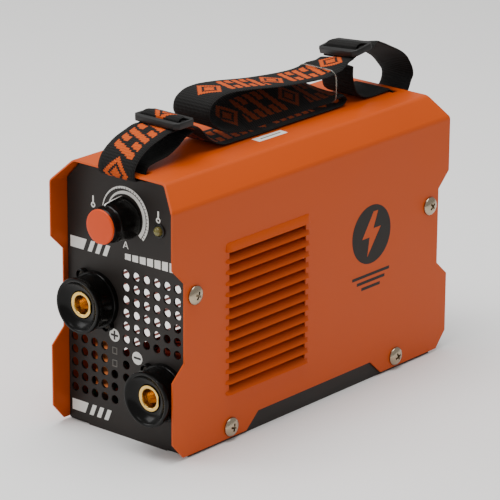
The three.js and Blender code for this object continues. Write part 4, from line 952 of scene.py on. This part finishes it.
def laid_out(stations):
    """Webbing's middle line through stations of (x, y, z) and, where it twists, a heading and a roll in
    degrees. Gives the place, the way across and the normal at every millimetre of its length."""
    route = [Vector(s[:3]) for s in stations]
    twists = [(*s[3:], 0, 0)[:2] for s in stations]
    samples = 900
    fine = [catmull(route, k / samples) for k in range(samples + 1)]
    lengths = [0.0]
    for a, b in zip(fine, fine[1:]):
        lengths.append(lengths[-1] + (b - a).length)
    cells = int(lengths[-1])
    rows = []
    k = 0
    for j in range(cells + 1):
        target = lengths[-1] * j / cells
        while k < samples - 1 and lengths[k + 1] < target:
            k += 1
        t = (k + (target - lengths[k]) / max(1e-9, lengths[k + 1] - lengths[k])) / samples
        t = min(1.0, max(0.0, t))
        ahead, behind = catmull(route, min(1, t + 0.002)), catmull(route, max(0, t - 0.002))
        tangent = (ahead - behind).normalized()
        along = t * (len(stations) - 1)
        n = min(int(along), len(stations) - 2)
        heading, roll = (math.radians(before * (1 - along + n) + after * (along - n))
                         for before, after in zip(twists[n], twists[n + 1]))
        across = Vector((math.cos(heading) * math.cos(roll), math.sin(heading) * math.cos(roll),
                         math.sin(roll)))
        across = (across - tangent * across.dot(tangent)).normalized()
        rows.append((catmull(route, t), across, tangent.cross(across).normalized()))
    return rows


def strip(name, stations, face, back, offset, bare, *nodes):
    """Woven webbing through stations; face and back say how strongly the pattern shows on each side, offset
    is the cell that it starts from, and bare is the run of cells that has none."""
    rows, columns = laid_out(stations), int(WIDTH)
    cells = len(rows) - 1
    points, faces, tones, uvs = [], [], [], []
    for place, across, normal in rows:
        for sheet in (1, -1):
            for i in range(columns + 1):
                u = i / columns * 2 - 1
                half = THICK / 2 * (0.3 + 0.7 * (1 - abs(u) ** 14)) * 0.96
                points.append(place + across * (u * WIDTH / 2 * 0.995) + normal * (sheet * half))
    row = 2 * (columns + 1)
    for j in range(cells):
        for sheet in (0, 1):
            for i in range(columns):
                a = j * row + sheet * (columns + 1) + i
                quad = (a, a + 1, a + 1 + row, a + row)
                faces.append(quad if sheet else quad[::-1])
                strength = back if sheet else face
                tones.append(0.0 if j in bare else strength * yarn(i, j + offset))
                cell = [(i, j), (i + 1, j), (i + 1, j + 1), (i, j + 1)]
                uvs.append(cell if sheet else cell[::-1])
        for i in (0, columns):
            a, b = j * row + i, j * row + columns + 1 + i
            quad = (a, b, b + row, a + row)
            faces.append(quad[::-1] if i else quad)
            tones.append(0.0)
            uvs.append([(i, j), (i, j), (i, j + 1), (i, j + 1)])
    for j in (0, cells):
        for i in range(columns):
            a, b = j * row + i, j * row + columns + 1 + i
            faces.append((a, a + 1, b + 1, b) if j == 0 else (a, b, b + 1, a + 1))
            tones.append(0.0)
            uvs.append([(i, j)] * 4)
    made = piece(name, points, faces, WEBBING)
    layer = made.data.uv_layers.new(name="weave")
    colours = made.data.attributes.new("yarn", "FLOAT", "FACE")
    colours.data.foreach_set("value", tones)
    flat = [value for cell in uvs for corner in cell for value in corner]
    layer.data.foreach_set("uv", flat)
    return done(shaded(made, 60), "case", "webbing", *nodes)


def strap():
    """The front loop, the grip's folded layers and the rear loop, which slackens and twists behind."""
    slot_y = STRAP_SLOT["y"]
    lip = TOP_HALF + SLIP + THICK
    under = TOP - SHEET - SLIP - THICK
    front_loop = [
        (0, from_front(42.7), TOP + 13.6), (0, from_front(37.2), TOP + 12.2),
        (0, from_front(31.2), TOP + 8.6), (0, from_front(23.2), TOP + 5.2),
        (0, from_front(14.2), TOP + 4), (0, from_front(8.6), TOP + 2.6), (0, -slot_y, TOP - 0.5),
        (0, -slot_y - 1.4, under), (0, -slot_y - 4, under - 0.3), (0, -lip + 0.8, under + 0.3),
        (0, -lip, TOP - 0.4), (0, -lip + 0.2, TOP + 2.6), (0, -lip + 3, TOP + 7.2),
        (0, from_front(9.2), TOP + 12.4), (0, from_front(19.2), TOP + 15.6),
        (0, from_front(24.6), TOP + 16.9),
        *threading(FRONT_BUCKLE)]
    strip("strap_front_loop", front_loop, 0.0, 1.0, 8, NOWHERE, "webbing_front_loop")
    y, z, heading, roll = threading(REAR_BUCKLE)[0][1:]
    grip = [
        (0, from_front(41.2), TOP + 16.6), (0, from_front(47.2), TOP + 14.6),
        (0, from_front(55.2), TOP + 7), (0, from_front(65.2), FIRST + 0.8),
        (0, from_front(77.2), FIRST), (0, from_rear(87.2), FIRST), (0, from_rear(57.2), FIRST),
        (0, from_rear(49.2), FIRST + 0.6), (0, from_rear(46.6), FIRST + 2.6),
        (0, from_rear(49.2), FIRST + 5.4), (0, from_rear(61.2), SECOND + 6.2, 0, -21),
        (0, from_rear(99.2), SECOND + 8.5, 0, -36), (0, from_front(87.2), SECOND + 8, 0, -34),
        (0, from_front(71.2), SECOND + 7.4, 0, -15), (0, from_front(61.2), SECOND + 9.4),
        (0, from_front(55.4), SECOND + 15), (0, from_front(56.2), SECOND + 20.6),
        (0, from_front(62.2), SECOND + 24.2), (0, from_front(71.2), SECOND + 25.2),
        (0, from_front(85.2), SECOND + 24), (0, from_rear(99.2), SECOND + 19.8),
        (0, from_rear(63.2), SECOND + 17), (0, from_rear(51.2), SECOND + 18.4),
        (0, y - 6, z - 1.4, heading, roll), (0, y - 1.8, z - 0.5, heading, roll)]
    strip("strap_grip", grip, 0.3, 1.0, 50 - BEND_CELLS.stop % 50, BEND_CELLS, "webbing_handle")
    rear_loop = [
        *threading(REAR_BUCKLE),
        (0, from_rear(19.2), TOP + 28.2, -9, 10), (0, from_rear(5.2), TOP + 22, -10, 16),
        (0, from_rear(-6.8), TOP + 14, -11, 19), (0, from_rear(-12.8), TOP + 4, -10, 18),
        (0, from_rear(-9.8), TOP - 3.4, -6, 10), (0, from_rear(-3.3), under - 1.8, -2, 2),
        (0, slot_y + 4, under - 0.4), (0, slot_y + 1.2, under + 0.4), (0, slot_y, TOP - 0.4),
        (0, from_rear(8.8), TOP + 1.2), (0, from_rear(13.2), FIRST),
        (0, from_rear(29.2), FIRST + 0.4, -3), (0, from_rear(36.6), FIRST + 4, -5, 3),
        (0, from_rear(39.6), FIRST + 12, -8, 6), (0, from_rear(39.4), TOP + 21, -9, 7)]
    strip("strap_rear_loop", rear_loop, 0.0, 0.0, 0, NOWHERE, "webbing_rear_loop")


def tie():
    """A thin clear loop with round corners round the folded layers of the grip."""
    y, wire, corner, turns, sides = from_rear(57.2), 0.34, 5.0, 8, 10
    half_w, low, high = WIDTH / 2 + 0.95, TOP + 3.6, TOP + 21.9
    centres = [(half_w - corner, high - corner, 0), (corner - half_w, high - corner, 90),
               (corner - half_w, low + corner, 180), (half_w - corner, low + corner, 270)]
    route = [(*polar((x, z), corner, start + 90 * i / turns), math.radians(start + 90 * i / turns))
             for x, z, start in centres for i in range(turns + 1)]
    points = []
    for x, z, angle in route:
        for k in range(sides):
            turn = 2 * math.pi * k / sides
            out = wire * math.cos(turn)
            points.append((x + out * math.cos(angle), y + wire * math.sin(turn), z + out * math.sin(angle)))
    count = len(route)
    faces = [(i * sides + k, i * sides + (k + 1) % sides, (i + 1) % count * sides + (k + 1) % sides,
              (i + 1) % count * sides + k) for i in range(count) for k in range(sides)]
    done(shaded(outward(piece("clear_tie", points, faces, CLEAR_TIE)), 60), "case", "clear_elastic",
         "strap_tie")


def buckle(name, place, node):
    """A flat frame with two windows and a bar between them."""
    half_w, half_l = BUCKLE["width"] / 2, (3 * BUCKLE["bar"] + 2 * BUCKLE["window"]) / 2
    c, thick = BUCKLE["corner"], BUCKLE["thickness"] / 2
    outline = [(c - half_w, -half_l), (half_w - c, -half_l), (half_w, c - half_l), (half_w, half_l - c),
               (half_w - c, half_l), (c - half_w, half_l), (-half_w, half_l - c), (-half_w, c - half_l)]
    made = prism(name, "z", outline, (-thick, thick), TEXTURED_NYLON)
    reach = WIDTH / 2 + 1
    windows = [prism("window", "z", about((0, side * WINDOW_Y), reach, BUCKLE["window"] / 2), (-5, 5),
                     TEXTURED_NYLON) for side in (-1, 1)]
    carved(made, combined("windows", windows))
    softened(made, 0.8, 3, 40)
    turn = buckle_frame(place)
    for vertex in made.data.vertices:
        vertex.co = turn @ (vertex.co / MM) * MM
    done(shaded(made, 40), "case", "black_plastic", node)


# ---- rear fittings -----------------------------------------------------------------------------


def gland():
    """A cable gland: a thread through the panel, a hexagon on it and a ribbed domed cap, all on one bore."""
    bore, face, inside = GLAND_BORE, PANEL_FACE, PANEL_BACK - 8
    hexagon = softened(prism("hex", "y", circle(GLAND_AT, 11.6, 6), (face, face + 5), TEXTURED_NYLON), 0.5, 2)

    def ribs(angle, radius, y):
        if radius < 8.5 or y > face + 16:
            return radius
        return radius - 0.35 * (0.5 + 0.5 * math.cos(18 * angle)) ** 3

    dome = [(bore, face + 4), (9.3, face + 4.6), (9.6, face + 5.2), (9.6, face + 14), (9.3, face + 14.8),
            (8.2, face + 16.4), (6.8, face + 18.2), (6.2, face + 18.9), (5.6, face + 19), (4.9, face + 18.8),
            (bore, face + 18.2), (bore, face + 4)]
    thread = [(bore, inside), (7.5, inside), (7.8, inside + 0.4), (7.8, face + 0.5), (bore, face + 0.5),
              (bore, inside)]
    cap = turned("dome", GLAND_AT, dome, TEXTURED_NYLON, 108, ribs)
    drill = prism("bore", "y", circle(GLAND_AT, bore, 48), (face - 1, face + 6), TEXTURED_NYLON)
    parts = [carved(hexagon, drill), cap, turned("thread", GLAND_AT, thread, TEXTURED_NYLON, 48)]
    done(shaded(combined("cable_gland", parts), 35), "case", "black_plastic", "gland_body")


def rocker_marks():
    """A bar and a ring, for on and off, on the rocker's two halves."""
    pivot, tilt = Vector((ROCKER_AT[0], PANEL_FACE + 0.8, ROCKER_AT[1])), math.radians(-10)
    waist, end, reach, height = 2.4, 3.2, 11.0, 5.8  # the rocker's face is highest at its two ends
    bar = prism("bar", "y", about((0, height), 0.45, 1.9), (0, INK), PALE_INK)
    ring = prism("ring", "y", circle((0, -height), 2.0, 36), (0, INK), PALE_INK)
    carved(ring, prism("ring_hole", "y", circle((0, -height), 1.3, 36), (-1, 1), PALE_INK))
    marks = combined("rocker_marks", [bar, ring])
    for vertex in marks.data.vertices:
        x, y, z = vertex.co / MM
        point = Vector((x, waist + (end - waist) * abs(z) / reach + y, z))
        vertex.co = (pivot + Matrix.Rotation(tilt, 3, "X") @ point) * MM
    done(marks, "rocker", "black_plastic")


# ---- finishes for the CAD nodes that stay ------------------------------------------------------

FINISHES = {
    "orange_powder_coat": ORANGE_COAT, "black_powder_coat": BLACK_COAT, "black_plastic": TEXTURED_NYLON,
    "gloss_black_plastic": POLISHED_NYLON, "orange_plastic": ORANGE_ABS, "lamp_lens": LAMP_LENS,
    "turned_brass": TURNED_BRASS, "copper": ENAMELLED_COPPER, "zinc_plated_steel": PLATED_STEEL,
    "extruded_aluminium": MILL_ALUMINIUM, "fibreglass_board": SOLDER_MASK, "ferrite": FERRITE,
    "capacitor_sleeve": SHRINK_SLEEVE, "webbing": TEXTURED_NYLON, "clear_elastic": CLEAR_TIE,
}


def finish_nodes():
    """Gives every CAD node the material that its slot names."""
    for entry in frame["record"]["subparts"]:
        node = frame["nodes"][entry["node"]]
        node.data.materials.clear()
        node.data.materials.append(FINISHES[entry["material_slot"]])


finish_nodes()
cover()
louvre_bank()
front_panel()
rear_panel()
dial_print()
front_print()
side_print()
top_label()
knob()
lamps()
socket("positive", POSITIVE)
socket("negative", NEGATIVE)
screws()
strap()
tie()
buckle("front_slider", FRONT_BUCKLE, "front_buckle")
buckle("rear_slider", REAR_BUCKLE, "rear_buckle")
gland()
rocker_marks()


# ---- floor and light -----------------------------------------------------------------------------


def lay_floor():
    half = 3.0
    data = bpy.data.meshes.new("floor")
    data.from_pydata([(x, y, 0) for x, y in about((0, 0), half, half)], [], [(0, 1, 2, 3)])
    data.materials.append(FLOOR)
    placed("floor", data)


def softbox(name, place, aim, size, power):
    """A square area light; places and sizes are metres."""
    data = bpy.data.lights.new(name, "AREA")
    data.shape, data.size, data.size_y, data.energy = "RECTANGLE", size, size, power
    light = placed(name, data)
    light.location = place
    light.rotation_euler = (Vector(aim) - Vector(place)).to_track_quat("-Z", "Y").to_euler()


def light_studio():
    """A dim even surround, a large light overhead and a weaker one on the left."""
    world = bpy.data.worlds.new("studio")
    bpy.context.scene.world = world
    world.use_nodes = True
    world.node_tree.nodes.clear()
    sky = add(world.node_tree, "ShaderNodeBackground", {"Color": (1, 1, 1, 1), "Strength": 0.5})
    add(world.node_tree, "ShaderNodeOutputWorld", {}, {"Surface": sky.outputs[0]})
    softbox("top_softbox", (-0.1, -0.1, 1.5), (0, 0, 0.1), 1.2, 30)
    softbox("left_softbox", (-1.3, -1.1, 0.8), (0, 0, 0.08), 0.8, 9)


lay_floor()
light_studio()
